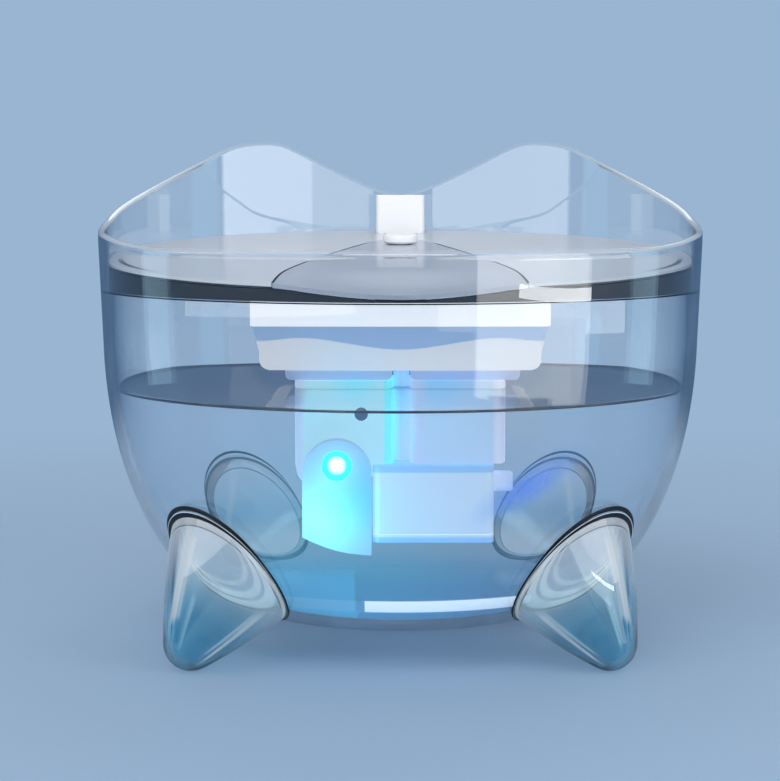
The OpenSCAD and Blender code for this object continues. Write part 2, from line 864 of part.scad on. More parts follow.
// Height of the tray's top at a distance behind its middle
function tray_h(y) = tray_mid_h + y * tan(tray_tilt);

// Height of the outlet tube's top
function outlet_top() = tray_h(outlet_y - outlet_tube_d / 2) - tilt_gap / 2;

module outlet_tube() {
    bottom = deck_top + seat_gap + lid_t;
    color("white") outlet_place() translate([0, 0, bottom])
        tube(outlet_tube_d, outlet_bore_d, outlet_top() - bottom);
}

module filter_lid() {
    bottom = deck_top + seat_gap;
    x = box_in_half + lid_lap;
    y0 = opening_y0 - lid_lap;
    y1 = opening_y1 + lid_lap;
    notch = screw_head_d / 2 + lid_notch_gap;
    color("white") difference() {
        union() {
            block(-x, x, y0, y1, bottom, bottom + lid_t);
            for (side = [-1, 1], y = [y0 + 2 * lid_post_inset, y1 - 2 * lid_post_inset])
                translate([side * (x - lid_post_inset), y, bottom])
                    cylinder(d = lid_post_d, h = ear_peak_h - bottom);
        }
        tray_slab(-tray_t, beyond);
        outlet_place() cylinder(d = outlet_bore_d, h = beyond);
        for (side = [-1, 1], y = screw_ys)
            centred_at([side * screw_x, y]) cylinder(r = notch, h = beyond);
    }
}

module centred_at(place) {
    translate([place[0], place[1], 0]) children();
}

module lid_gasket() {
    top = deck_top + seat_gap;
    x = box_in_half - gasket_gap;
    y0 = opening_y0 + gasket_gap;
    y1 = opening_y1 - gasket_gap;
    color("dimgray") difference() {
        block(-x, x, y0, y1, top - gasket_h, top);
        block(gasket_w - x, x - gasket_w, y0 + gasket_w, y1 - gasket_w, top - gasket_h - cut, top + cut);
    }
}

// Filter cartridge, in layers from below

cart_gap = 1;
cart_wall = 1.2;
cart_x = box_in_half - cart_gap;
cart_y0 = opening_y0 + cart_gap;
cart_y1 = opening_y1 - cart_gap;
cart_bottom = box_bottom_h + box_corner_r + shoulder_w + seat_gap;
carbon_h = 8;
foam_h = 5;
cart_cover_t = 1.4;
cart_slot_w = 3;
cart_slots = 7;
grip_w = 14;
grip_h = 2.6;
grip_t = 2;

module cart_layer(z0, z1) {
    block(cart_wall - cart_x, cart_x - cart_wall, cart_y0 + cart_wall, cart_y1 - cart_wall, z0, z1);
}

// Slots that let the water through the cartridge's floor and cover
module cart_slot_row(z0, z1) {
    pitch = 2 * (cart_x - 2 * cart_wall) / cart_slots;
    for (n = [0:cart_slots - 1])
        centred_at([(n - (cart_slots - 1) / 2) * pitch, 0])
            block(-cart_slot_w / 2, cart_slot_w / 2, cart_y0 + grip_w / 2, outlet_y - grip_w / 2, z0, z1);
}

module cartridge_shell() {
    floor_top = cart_bottom + cart_wall;
    top = floor_top + carbon_h + foam_h + cart_cover_t;
    color("white") difference() {
        block(-cart_x, cart_x, cart_y0, cart_y1, cart_bottom, top);
        cart_layer(floor_top, top + cut);
        cart_slot_row(cart_bottom - cut, floor_top + cut);
    }
}

module carbon_bed() {
    z = cart_bottom + cart_wall;
    color("dimgray") cart_layer(z, z + carbon_h);
}

module foam_pad() {
    z = cart_bottom + cart_wall + carbon_h;
    color("aliceblue") cart_layer(z, z + foam_h);
}

module cartridge_cover() {
    z = cart_bottom + cart_wall + carbon_h + foam_h;
    color("white") difference() {
        union() {
            cart_layer(z, z + cart_cover_t);
            centred_at([0, (cart_y0 + cart_y1) / 2])
                centred_box([grip_w, grip_t], z, z + cart_cover_t + grip_h);
        }
        difference() {
            cart_slot_row(z - cut, z + cart_cover_t + grip_h + cut);
            centred_at([0, (cart_y0 + cart_y1) / 2]) centred_box([beyond, 3 * grip_t], 0, beyond);
        }
    }
}

// Pump

pump_x1 = pump_x0 + pump_w;
pump_rear = pump_depth - pump_front;
cover_top = pump_bottom_h + cover_t;
body_bottom = cover_top + cover_gap;
volute_top = body_bottom + volute_h;
rotor_z = impeller_z + disc_t + blade_h + rotor_gap;
well_top = rotor_z + rotor_h + rotor_gap;
stator_z = rotor_z + (rotor_h - stator_h) / 2;

module rotor_place() {
    translate([rotor_x, rotor_y, 0]) children();
}

module pump_body() {
    volute_r = impeller_d / 2 + 2 * rotor_gap;
    color("aliceblue") difference() {
        union() {
            round_block(pump_x0, pump_x1, -pump_front, pump_rear, body_bottom, pump_top, pump_corner_r);
            translate([riser_x, riser_y, pump_top]) cylinder(d = nipple_d, h = nipple_h);
        }
        rotor_place() {
            translate([0, 0, body_bottom - cut]) cylinder(r = volute_r, h = volute_h + cut);
            translate([0, 0, body_bottom]) cylinder(d = rotor_d + 2 * rotor_gap, h = well_top - body_bottom);
            translate([0, 0, body_bottom]) cylinder(d = shaft_d, h = well_top - body_bottom + bush_h);
            translate([0, 0, stator_z]) tube(coil_d, coil_in_d, stator_h);
        }
        translate([riser_x, riser_y, body_bottom + duct_d / 2]) cylinder(d = nipple_bore_d, h = beyond);
        hull() {
            translate([riser_x, riser_y, body_bottom + duct_d / 2]) sphere(d = duct_d, $fn = 16);
            rotor_place() translate([-volute_r, 0, duct_d / 2 + body_bottom]) sphere(d = duct_d, $fn = 16);
        }
        translate([pump_x1 - stem_l - cut / 4, knob_y, knob_h])
            rotate([0, 90, 0]) cylinder(d = stem_d + 2 * stem_fit, h = stem_l + cut);
    }
}

module pump_cover() {
    color("white") difference() {
        round_block(pump_x0, pump_x1, -pump_front, pump_rear, pump_bottom_h, cover_top, pump_corner_r);
        rotor_place() intersection() {
            translate([0, 0, pump_bottom_h - cut]) tube(slot_reach_d, bush_d + 2 * slot_w, cover_t + 2 * cut);
            for (n = [0:slot_count - 1])
                translate([0, (n - (slot_count - 1) / 2) * slot_pitch, 0])
                    centred_box([slot_reach_d, slot_w], pump_bottom_h - cut, cover_top + cut);
        }
        rotor_place() translate([0, 0, cover_top - bush_h]) cylinder(d = bush_d, h = bush_h + cut);
        rotor_place() translate([0, 0, pump_bottom_h + cover_t / 4]) cylinder(d = shaft_d + shaft_fit, h = cover_t);
    }
}

module shaft_bush() {
    color("tan") rotor_place() translate([0, 0, cover_top - bush_h]) tube(bush_d, shaft_d + shaft_fit, bush_h);
}

module pump_shaft() {
    bottom = cover_top - bush_h / 2;
    color("gainsboro") rotor_place() translate([0, 0, bottom]) cylinder(d = shaft_d, h = well_top + bush_h - bottom);
}

// Swept blades on a disc, under the rotor magnet
module impeller() {
    reach = impeller_d / 2;
    arc_r = reach / (2 * sin(blade_sweep));
    color("white") rotor_place() translate([0, 0, impeller_z]) difference() {
        union() {
            translate([0, 0, blade_h]) cylinder(d = impeller_d - rotor_gap, h = disc_t);
            cylinder(d = hub_d, h = blade_h + disc_t);
            intersection() {
                cylinder(d = impeller_d, h = blade_h);
                for (n = [0:blades - 1])
                    rotate([0, 0, n * 360 / blades])
                        translate([arc_r * sin(blade_sweep), -arc_r * cos(blade_sweep), 0])
                            tube(2 * arc_r + blade_t, 2 * arc_r - blade_t, blade_h + disc_t / 2);
            }
        }
        translate([0, 0, -cut]) cylinder(d = shaft_d + shaft_fit, h = beyond);
    }
}

module rotor_magnet() {
    z = impeller_z + blade_h + disc_t;
    color("dimgray") rotor_place() translate([0, 0, z]) tube(rotor_d, shaft_d + shaft_fit, rotor_h);
}

module stator_core() {
    color("slategray") rotor_place() translate([0, 0, stator_z]) tube(stator_out_d, coil_in_d, stator_h);
}

module stator_coil() {
    color("peru") rotor_place() translate([0, 0, stator_z]) tube(coil_d, stator_out_d, stator_h);
}

module flow_knob() {
    color("white") translate([pump_x1 + seat_gap, knob_y, knob_h]) rotate([0, 90, 0]) {
        cylinder(d = knob_d, h = knob_l);
        translate([0, 0, -stem_l]) cylinder(d = stem_d, h = stem_l + cut);
        centred_box([knob_d - knob_rib_w, knob_rib_w], knob_l, knob_l + knob_rib_w / 2);
    }
}

bowl();
foot_front_left();
foot_front_right();
foot_rear_left();
foot_rear_right();
support_ring();
power_block();
inlet_socket();
filter_box();
box_screws();
left_column();
right_column();
riser_pipe();
lamp_housing();
lamp_board();
lamp_lens();
tray();
spillway();
outlet_cap();
outlet_tube();
filter_lid();
lid_gasket();
cartridge_shell();
carbon_bed();
foam_pad();
cartridge_cover();
pump_body();
pump_cover();
pump_shaft();
shaft_bush();
stator_core();
stator_coil();
impeller();
rotor_magnet();
flow_knob();
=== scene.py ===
import bpy
import math
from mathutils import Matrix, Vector


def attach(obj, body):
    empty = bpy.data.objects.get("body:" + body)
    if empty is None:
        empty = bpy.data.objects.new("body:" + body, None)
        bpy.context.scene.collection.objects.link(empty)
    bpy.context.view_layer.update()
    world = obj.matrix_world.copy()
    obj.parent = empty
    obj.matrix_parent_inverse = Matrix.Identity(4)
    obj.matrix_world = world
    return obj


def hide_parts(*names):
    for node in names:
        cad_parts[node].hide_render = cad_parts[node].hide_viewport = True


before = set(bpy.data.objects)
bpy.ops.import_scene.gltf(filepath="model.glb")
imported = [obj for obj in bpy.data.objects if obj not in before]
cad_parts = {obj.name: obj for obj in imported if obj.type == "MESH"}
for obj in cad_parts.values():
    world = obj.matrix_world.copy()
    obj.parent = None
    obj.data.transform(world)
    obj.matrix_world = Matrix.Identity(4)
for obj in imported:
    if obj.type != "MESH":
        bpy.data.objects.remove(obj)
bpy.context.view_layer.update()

mm = 0.001


# shader sums: a wire is a socket that can be used in an expression


class Wire:
    def __init__(self, finish, socket):
        self.finish = finish
        self.socket = socket

    def maths(self, operation, *values):
        return self.finish.add("ShaderNodeMath", {"operation": operation}, dict(enumerate(values)))

    def __add__(self, other):
        return self.maths("ADD", self, other)

    def __radd__(self, other):
        return self.maths("ADD", other, self)

    def __sub__(self, other):
        return self.maths("SUBTRACT", self, other)

    def __rsub__(self, other):
        return self.maths("SUBTRACT", other, self)

    def __mul__(self, other):
        return self.maths("MULTIPLY", self, other)

    def __rmul__(self, other):
        return self.maths("MULTIPLY", other, self)

    def __truediv__(self, other):
        return self.maths("DIVIDE", self, other)

    def __rtruediv__(self, other):
        return self.maths("DIVIDE", other, self)

    def __pow__(self, other):
        return self.maths("POWER", self, other)

    def __rpow__(self, other):
        return self.maths("POWER", other, self)

    def orMore(self, other):  # the larger of the two
        return self.maths("MAXIMUM", self, other)

    def orLess(self, other):  # the smaller of the two
        return self.maths("MINIMUM", self, other)

    def size(self):  # the value without its sign
        return (self * self) ** 0.5

    def around(self, middle, spread):  # a speckle, made to vary about a middle value
        return (self - 0.5) * spread + middle

    def gate(self, low, high):  # 0 below low, 1 above high, soft between
        return self.finish.add("ShaderNodeMapRange", {"interpolation_type": "SMOOTHSTEP"},
                               {"Value": self, "From Min": low, "From Max": high})

    def band(self, low, high, soft):  # 1 between low and high
        return self.gate(low - soft, low + soft) * (1 - self.gate(high - soft, high + soft))


def away(a, b, centre):  # distance of a place from a centre, on two of its axes
    return ((a - centre[0]) ** 2 + (b - centre[1]) ** 2) ** 0.5


def opaque(colour):  # a plain colour gets its alpha, a wire stays as it is
    return colour if isinstance(colour, Wire) else (*colour, 1)


class Finish:
    endKind = "ShaderNodeOutputMaterial"

    def __init__(self, owner):
        self.owner = owner
        owner.use_nodes = True
        self.tree = owner.node_tree
        self.tree.nodes.clear()

    def add(self, kind, settings=None, inputs=None, out=0):
        made = self.tree.nodes.new(kind)
        for key, value in (settings or {}).items():
            setattr(made, key, value)
        for key, value in (inputs or {}).items():
            socket = made.inputs[key]
            if isinstance(value, Wire):
                self.tree.links.new(value.socket, socket)
            else:
                socket.default_value = value
        return Wire(self, made.outputs[out])

    def xyz(self):
        place = self.add("ShaderNodeTexCoord", out="Object")
        return [self.add("ShaderNodeSeparateXYZ", inputs={0: place}, out=i) for i in range(3)]

    def noise(self, scale, detail):
        place = self.add("ShaderNodeTexCoord", out="Object")
        return self.add("ShaderNodeTexNoise", inputs={"Vector": place, "Scale": scale, "Detail": detail})

    def carried(self, name):  # a value that the mesh carries at each point
        return self.add("ShaderNodeAttribute", {"attribute_name": name}, out="Fac")

    def ray(self, name):
        return self.add("ShaderNodeLightPath", out=name)

    def bump(self, height, distance, share):
        return self.add("ShaderNodeBump", inputs={"Height": height, "Distance": distance, "Strength": share})

    def mixColour(self, share, a, b):
        return self.add("ShaderNodeMix", {"data_type": "RGBA"}, {0: share, 6: opaque(a), 7: opaque(b)}, out=2)

    def mixShaders(self, share, a, b):
        return self.add("ShaderNodeMixShader", inputs={0: share, 1: a, 2: b})

    def lit(self, colour, strength=1.0):
        return self.add("ShaderNodeEmission", inputs={"Color": opaque(colour), "Strength": strength})

    def seeThrough(self, colour=(1, 1, 1)):
        return self.add("ShaderNodeBsdfTransparent", inputs={"Color": opaque(colour)})

    def solid(self, **inputs):
        names = {"colour": "Base Color", "roughness": "Roughness", "metallic": "Metallic", "alpha": "Alpha",
                 "ior": "IOR", "clear": "Transmission Weight", "coat": "Coat Weight",
                 "coatRoughness": "Coat Roughness", "glow": "Emission Color",
                 "glowStrength": "Emission Strength", "normal": "Normal", "specular": "Specular IOR Level"}
        values = {names[key]: opaque(value) if key in ("colour", "glow") else value
                  for key, value in inputs.items()}
        return self.add("ShaderNodeBsdfPrincipled", inputs=values)

    def close(self, shader):
        end = self.tree.nodes.new(self.endKind)
        self.tree.links.new(shader.socket, end.inputs["Surface"])
        return self.owner


def newFinish(name):
    return Finish(bpy.data.materials.new(name))


def tint(red, green, blue):  # a screen colour as light, by the usual screen curve
    return tuple(c / 12.92 if c <= 0.04045 else ((c + 0.055) / 1.055) ** 2.4
                 for c in (red / 255, green / 255, blue / 255))


def scaled(colour, by):
    return tuple(c * by for c in colour)


def addObject(name, data):
    made = bpy.data.objects.new(name, data)
    bpy.context.scene.collection.objects.link(made)
    return made


# camera

camera = {"distance": 0.7575, "pitch": 0.100188, "target": 0.088298, "focal": 2044.03, "width": 780,
          "centreX": 400.3, "sensor": 36, "nearest": 0.01}


def makeCamera():
    cam = addObject("camera", bpy.data.cameras.new("camera"))
    cam.location = (0, -camera["distance"] * math.cos(camera["pitch"]),
                    camera["target"] + camera["distance"] * math.sin(camera["pitch"]))
    cam.rotation_euler = (math.pi / 2 - camera["pitch"], 0, 0)
    cam.data.sensor_fit = "HORIZONTAL"
    cam.data.sensor_width = camera["sensor"]
    cam.data.lens = camera["focal"] / camera["width"] * camera["sensor"]
    cam.data.shift_x = -(camera["centreX"] - camera["width"] / 2) / camera["width"]
    cam.data.clip_start = camera["nearest"]
    bpy.context.scene.camera = cam
    bpy.context.scene.view_settings.view_transform = "Standard"


makeCamera()


# studio: a pale floor and backdrop, soft lamps, and cards that stand for windows
# each card stands on a chord of a circle about the place near it, between two angles from the front

studio = {
    "backdrop": tint(154, 181, 210), "mirrored": tint(84, 112, 146), "worldLight": 0.5, "bounce": (0.4, 0.6),
    "floorHalf": 8.0, "floorFade": (0.22, 0.7), "floorRoughness": 0.75, "floorShine": 0.15,
    "lamps": [
        {"name": "keyLight", "at": (-0.5, -0.7, 1.1), "aim": (0, 0, 0.09), "size": (0.9, 0.9), "power": 5.0},
        {"name": "fillLight", "at": (0.9, -0.6, 0.5), "aim": (0, 0, 0.09), "size": (0.6, 0.9), "power": 2.6},
        {"name": "frontLight", "at": (0.05, -1.2, 0.3), "aim": (0, 0, 0.08), "size": (1.1, 0.5), "power": 6.6,
         "mirrored": False},
        {"name": "backLight", "at": (0.1, 0.9, 0.9), "aim": (0, 0, 0.12), "size": (1.2, 0.5), "power": 3.6},
    ],
    "cardLight": 3.0, "cardColour": (0.93, 0.97, 1), "stripColour": (0.45, 0.75, 1),
    "cards": [
        {"name": "windowFront", "near": (0.04, -0.1), "span": (25.5, 77), "out": 0.36, "height": (0.0, 0.115),
         "light": 0.72},
        {"name": "windowPane", "near": (0.0937, -0.072), "span": (32.5, 69.9), "out": 0.312,
         "height": (0.0875, 0.0942), "light": 3.6, "deep": False},
        {"name": "windowLow", "near": (0.04, -0.1), "span": (30, 62), "out": 0.2, "height": (0.0, 0.045),
         "light": 0.16},
        {"name": "windowRight", "near": (-0.055, 0.095), "span": (39, 77), "out": 0.6, "height": (0.106, 0.6),
         "light": 1.0},
        {"name": "windowNext", "near": (-0.03, 0.105), "span": (13, 38.0), "out": 0.6, "height": (0.106, 0.6),
         "light": 0.6},
        {"name": "windowLeft", "near": (0.04, 0.1), "span": (-72, -16), "out": 0.6, "height": (0.115, 0.6),
         "light": 0.72},
        {"name": "stripLeft", "near": (0, 0), "span": (-103, -88), "out": 0.6, "height": (0.0, 0.5),
         "light": 0.35, "colour": "stripColour"},
        {"name": "stripRight", "near": (0, 0), "span": (88, 103), "out": 0.6, "height": (0.0, 0.5),
         "light": 0.35, "colour": "stripColour"},
    ],
}


def mirrored(f):  # 1 once a ray has been reflected by something glossy
    return f.ray("Glossy Depth").gate(*studio["bounce"])


def gathered(f):  # 1 once a ray has been scattered by something matt
    return f.ray("Diffuse Depth").gate(*studio["bounce"])


def seenDirectly(f):  # camera, mirror and see-through rays, but not light that a matt surface gathers
    seen, glossy, passing = [f.ray("Is " + kind + " Ray") for kind in ("Camera", "Glossy", "Transmission")]
    return seen.orMore(glossy.orMore(passing)) * (1 - gathered(f))


def makeWorld():
    world = bpy.data.worlds.new("studioWorld")
    bpy.context.scene.world = world
    air = Finish(world)
    air.endKind = "ShaderNodeOutputWorld"
    soft, seen, dark = [
        air.add("ShaderNodeBackground", inputs={"Color": opaque(colour), "Strength": strength})
        for colour, strength in (((1, 1, 1), studio["worldLight"]), (studio["backdrop"], 1.0),
                                 (studio["mirrored"], 1.0))]
    shown = air.mixShaders(mirrored(air), seen, dark)
    air.close(air.mixShaders(seenDirectly(air), soft, shown))


def makeFloor():
    mesh = bpy.data.meshes.new("studioFloor")
    half = studio["floorHalf"]
    corners = [(-half, -half, 0), (half, -half, 0), (half, half, 0), (-half, half, 0)]
    mesh.from_pydata(corners, [], [(0, 1, 2, 3)])
    floor = addObject("studioFloor", mesh)
    ground = newFinish("studioFloorPaint")
    x, y, z = ground.xyz()
    far = away(x, y, (0, 0)).gate(*studio["floorFade"])
    matt = ground.solid(colour=studio["backdrop"], roughness=studio["floorRoughness"],
                        specular=studio["floorShine"])
    seen, dark = ground.lit(studio["backdrop"]), ground.lit(studio["mirrored"])
    shown = ground.mixShaders(mirrored(ground), seen, dark)
    mesh.materials.append(ground.close(ground.mixShaders(far * seenDirectly(ground), matt, shown)))


def softBox(panel):
    light = bpy.data.lights.new(panel["name"], "AREA")
    light.shape = "RECTANGLE"
    light.size, light.size_y = panel["size"]
    light.energy = panel["power"]
    made = addObject(panel["name"], light)
    made.location = panel["at"]
    made.rotation_euler = (Vector(panel["aim"]) - Vector(panel["at"])).to_track_quat("-Z", "Y").to_euler()
    made.visible_camera = False
    made.visible_glossy = panel.get("mirrored", True)
    made.visible_transmission = False


def mirrorCard(sheet):  # shows in reflections alone, and in the nearest wall only where it isn't deep
    near, out = sheet["near"], sheet["out"]
    bottom, top = (Vector((0, 0, h)) for h in sheet["height"])
    left, right = [Vector((near[0] + out * math.sin(a), near[1] - out * math.cos(a), 0))
                   for a in (math.radians(degrees) for degrees in sheet["span"])]
    mesh = bpy.data.meshes.new(sheet["name"])
    mesh.from_pydata([left + bottom, right + bottom, right + top, left + top], [], [(0, 1, 2, 3)])
    card = addObject(sheet["name"], mesh)
    glow = newFinish(sheet["name"] + "Glow")
    shine = glow.lit(studio[sheet.get("colour", "cardColour")], studio["cardLight"] * sheet["light"])
    shows = mirrored(glow) * (1 - gathered(glow))
    mesh.materials.append(glow.close(glow.mixShaders(shows, glow.seeThrough(), shine)))
    card.visible_camera = False
    card.visible_diffuse = False
    card.visible_transmission = sheet.get("deep", True)
    card.visible_shadow = False


makeWorld()
makeFloor()
for panel in studio["lamps"]:
    softBox(panel)
for sheet in studio["cards"]:
    mirrorCard(sheet)
print("camera and studio ready")


# mesh tools

meshing = {"sharp": 38.0, "tubeSides": 8}


def makePiece(name, points, faces, finish, body, sharp=meshing["sharp"]):
    mesh = bpy.data.meshes.new(name)
    mesh.from_pydata([tuple(p) for p in points], [], faces)
    mesh.validate()
    mesh.update()
    made = addObject(name, mesh)
    mesh.materials.append(finish)
    mesh.shade_smooth()
    mesh.set_sharp_from_angle(angle=math.radians(sharp))
    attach(made, body)
    return made


def ringGrid(rows, closedAlong=False):  # points and faces of a grid of closed rows of equal length
    count, around = len(rows), len(rows[0])
    faces = []
    for i in range(count if closedAlong else count - 1):
        for j in range(around):
            a, b = i * around + j, i * around + (j + 1) % around
            c, d = (i + 1) % count * around + (j + 1) % around, (i + 1) % count * around + j
            faces.append((a, b, c, d))
    return [p for row in rows for p in row], faces


def fanCap(points, faces, centre, start, count, flipped=False):  # closes a row of a grid round one point
    points.append(centre)
    hub = len(points) - 1
    for j in range(count):
        a, b = start + j, start + (j + 1) % count
        faces.append((a, b, hub) if flipped else (b, a, hub))


def tubeAlong(points, radius, squash=1.0, lift=None, swell=None):  # a closed tube along a closed line
    rows = []
    n, sides = len(points), meshing["tubeSides"]
    for i, p in enumerate(points):
        thick = radius * (swell[i] if swell else 1)
        way = (points[(i + 1) % n] - points[i - 1]).normalized()
        out = lift[i] if lift else Vector((0, 0, 1))
        side = way.cross(out).normalized()
        out = side.cross(way).normalized()
        rows.append([p + thick * (math.cos(t) * side + squash * math.sin(t) * out)
                     for t in (2 * math.pi * k / sides for k in range(sides))])
    return ringGrid(rows, closedAlong=True)


def turned(r, h, angle):  # angle from the front, to the right as the camera sees it
    a = math.radians(angle)
    return Vector((r * math.sin(a), -r * math.cos(a), h)) * mm


def circle(r, h, count):
    return [turned(r, h, 360 * j / count) for j in range(count)]


def cubicPoint(p, t):
    weights = ((1 - t) ** 3, 3 * (1 - t) ** 2 * t, 3 * (1 - t) * t * t, t ** 3)
    return sum((w * Vector(q) for w, q in zip(weights, p)), Vector((0, 0)))


def cubicWay(p, t):
    a, b, c, d = (Vector(q) for q in p)
    return (1 - t) ** 2 * (b - a) + 2 * (1 - t) * t * (c - b) + t * t * (d - c)


def smoothTable(table, x):  # a smooth line through the rows of a table
    i = max(k for k in range(len(table) - 1) if k == 0 or table[k][0] <= x)
    wide = table[i + 1][0] - table[i][0]

    def slope(k):
        if k in (0, len(table) - 1):
            return 0
        return (table[k + 1][1] - table[k - 1][1]) / (table[k + 1][0] - table[k - 1][0])

    t, low, high = (x - table[i][0]) / wide, table[i][1], table[i + 1][1]
    a, b = slope(i) * wide, slope(i + 1) * wide
    return low + t * a + t * t * (3 * (high - low) - 2 * a - b) + t ** 3 * (a + b - 2 * (high - low))


# finishes that several pieces share


def grainyFinish(name, look):  # one colour, a little uneven in its shine
    f = newFinish(name)
    roughness = f.noise(look["grain"], 2) * look["spread"] + look["roughness"]
    more = {key: look[key] for key in ("coat", "specular") if key in look}
    return f.close(f.solid(colour=look["colour"], roughness=roughness, **more))


# clear plastic of the bowl and the feet

clear = {
    "tint": (0.975, 0.99, 1.0), "shade": (0.98, 0.99, 1.0), "ior": 1.52, "grain": 38, "roughness": 0.012,
    "spread": 0.02, "coat": 0.3, "coatRoughness": 0.01, "paintedSheen": tint(228, 240, 252), "paintedSheenShare": 0.55,
}


def edgeOn(f, sharpness):  # rises where clear plastic is seen edge on, through more of it
    return f.add("ShaderNodeLayerWeight", inputs={"Blend": 0.5}, out="Facing") ** sharpness


def glassShader(f, colour):
    grain = f.noise(clear["grain"], 2)
    glass = f.solid(colour=colour, roughness=grain.around(clear["roughness"], clear["spread"]),
                    ior=clear["ior"], clear=1.0, coat=clear["coat"], coatRoughness=clear["coatRoughness"])
    return f.mixShaders(f.ray("Is Shadow Ray"), glass, f.seeThrough(clear["shade"]))


# bowl with its splash guard

bowl = {
    "rimR": 110.0, "frontRim": 143.6, "earPeak": 181.6, "base": 9.1, "baseR": 47.0, "wall": 4.0, "guard": 2.5,
    "browR": 108.6, "browH": 107.6, "ledge": 126.6, "lean": 1.1, "handle": 49.7, "baseHandle": 39.9,
    "rimRise": [(0, 0), (50, 0), (60, 0.03), (70, 0.075), (82, 0.12), (94, 0.205), (103, 0.325), (115, 0.485),
                (125, 0.645), (133, 0.79), (141, 0.95), (148, 1.0), (153, 0.985), (158, 0.885), (164, 0.74),
                (170, 0.6), (176, 0.48), (180, 0.45)],
    "bevel": 0.4, "underLedge": 8, "beadDrop": 0.15,
    "around": 240, "sideSteps": 44, "guardSteps": 16, "beadSteps": 8, "baseRings": (0.5, 12, 24, 36),
    "halvings": 40, "edge": (0.74, 0.84, 0.93), "edgeSharpness": 5,
}
rim = {
    "colour": tint(206, 218, 230), "sides": (0.06, 0.105), "sideShare": 0.8, "front": (-0.09, -0.05),
    "frontShare": 0.02, "share": 0.12, "grain": 300, "roughness": 0.12, "spread": 0.06, "coat": 0.3,
}
sideCurve = [(bowl["browR"], bowl["browH"]), (bowl["browR"] - bowl["lean"], bowl["browH"] - bowl["handle"]),
             (bowl["baseR"] + bowl["baseHandle"], bowl["base"]), (bowl["baseR"], bowl["base"])]


def bowlFinish():
    f = newFinish("bowlClear")
    return f.close(glassShader(f, f.mixColour(edgeOn(f, bowl["edgeSharpness"]), clear["tint"], bowl["edge"])))


def rimFinish():  # painted highlight: a pale layer on the rim's bead, strongest at the two rounds, thin elsewhere
    f = newFinish("rimPaintedHighlight")
    x, y, z = f.xyz()
    side = x.size().gate(*rim["sides"])
    front = 1 - y.gate(*rim["front"])
    return f.close(f.solid(
        colour=rim["colour"], alpha=side * rim["sideShare"] + front * rim["frontShare"] + rim["share"],
        roughness=f.noise(rim["grain"], 2) * rim["spread"] + rim["roughness"], coat=rim["coat"]))


def rimHeight(angle):
    angle = angle % 360
    rise = smoothTable(bowl["rimRise"], min(angle, 360 - angle))
    return bowl["frontRim"] + (bowl["earPeak"] - bowl["frontRim"]) * rise


def guardRadius(h):
    share = (h - bowl["browH"]) / (bowl["frontRim"] - bowl["browH"])
    return min(bowl["rimR"], bowl["browR"] + (bowl["rimR"] - bowl["browR"]) * share)


def sidePoint(t, inset):
    way = cubicWay(sideCurve, t)
    return cubicPoint(sideCurve, t) + inset * Vector((way[1], -way[0])) / way.length


def sideRadius(h, inset):  # radius of the bowl's curved side at a height
    low, high = 0.0, 1.0
    for _ in range(bowl["halvings"]):
        t = (low + high) / 2
        if sidePoint(t, inset)[1] > h:
            low = t
        else:
            high = t
    return sidePoint(low, inset)[0]


def bowlProfile(angle):  # from the middle of the base up the outside, over the rim and down the inside
    top = rimHeight(angle)
    bead = bowl["guard"] / 2
    under = top - bead - bowl["beadDrop"]
    steps, guardSteps, beadSteps = bowl["sideSteps"], bowl["guardSteps"], bowl["beadSteps"]
    out = [Vector((r, bowl["base"])) for r in bowl["baseRings"]]
    out += [sidePoint(1 - i / steps, 0) for i in range(steps + 1)]
    for i in range(1, guardSteps + 1):
        h = bowl["browH"] + (under - bowl["browH"]) * i / guardSteps
        out.append(Vector((guardRadius(h), h)))
    centre = Vector((guardRadius(top) - bead, top - bead))
    out += [centre + bead * Vector((math.cos(a), math.sin(a)))
            for a in (math.pi * k / beadSteps for k in range(beadSteps + 1))]
    for i in range(guardSteps + 1):
        h = under + (bowl["ledge"] - under) * i / guardSteps
        out.append(Vector((guardRadius(h) - bowl["guard"], h)))
    inR = bowl["browR"] - bowl["wall"]
    out += [Vector((inR + bowl["bevel"], bowl["ledge"])), Vector((inR, bowl["ledge"] - bowl["bevel"])),
            Vector((inR, bowl["browH"] + bowl["underLedge"]))]
    out += [sidePoint(i / steps, bowl["wall"]) for i in range(steps + 1)]
    out += [Vector((r, bowl["base"] + bowl["wall"])) for r in reversed(bowl["baseRings"])]
    return out


def makeBowl():
    around = bowl["around"]
    columns = [bowlProfile(360 * j / around) for j in range(around)]
    rows = [[turned(column[i][0], column[i][1], 360 * j / around) for j, column in enumerate(columns)]
            for i in range(len(columns[0]))]
    points, faces = ringGrid(rows)
    fanCap(points, faces, turned(0, bowl["base"], 0), 0, around)
    last = (len(rows) - 1) * around
    fanCap(points, faces, turned(0, bowl["base"] + bowl["wall"], 0), last, around, flipped=True)
    shell = makePiece("bowlShell", points, faces, bowlFinish(), "bowl")
    shell.data.materials.append(rimFinish())
    beadFrom = len(bowl["baseRings"]) + bowl["sideSteps"] + 1 + bowl["guardSteps"]
    beadTo = beadFrom + bowl["beadSteps"] + 1
    for face in shell.data.polygons[beadFrom * around:beadTo * around]:
        face.material_index = 1
    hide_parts("bowl")


makeBowl()
print("bowl ready")
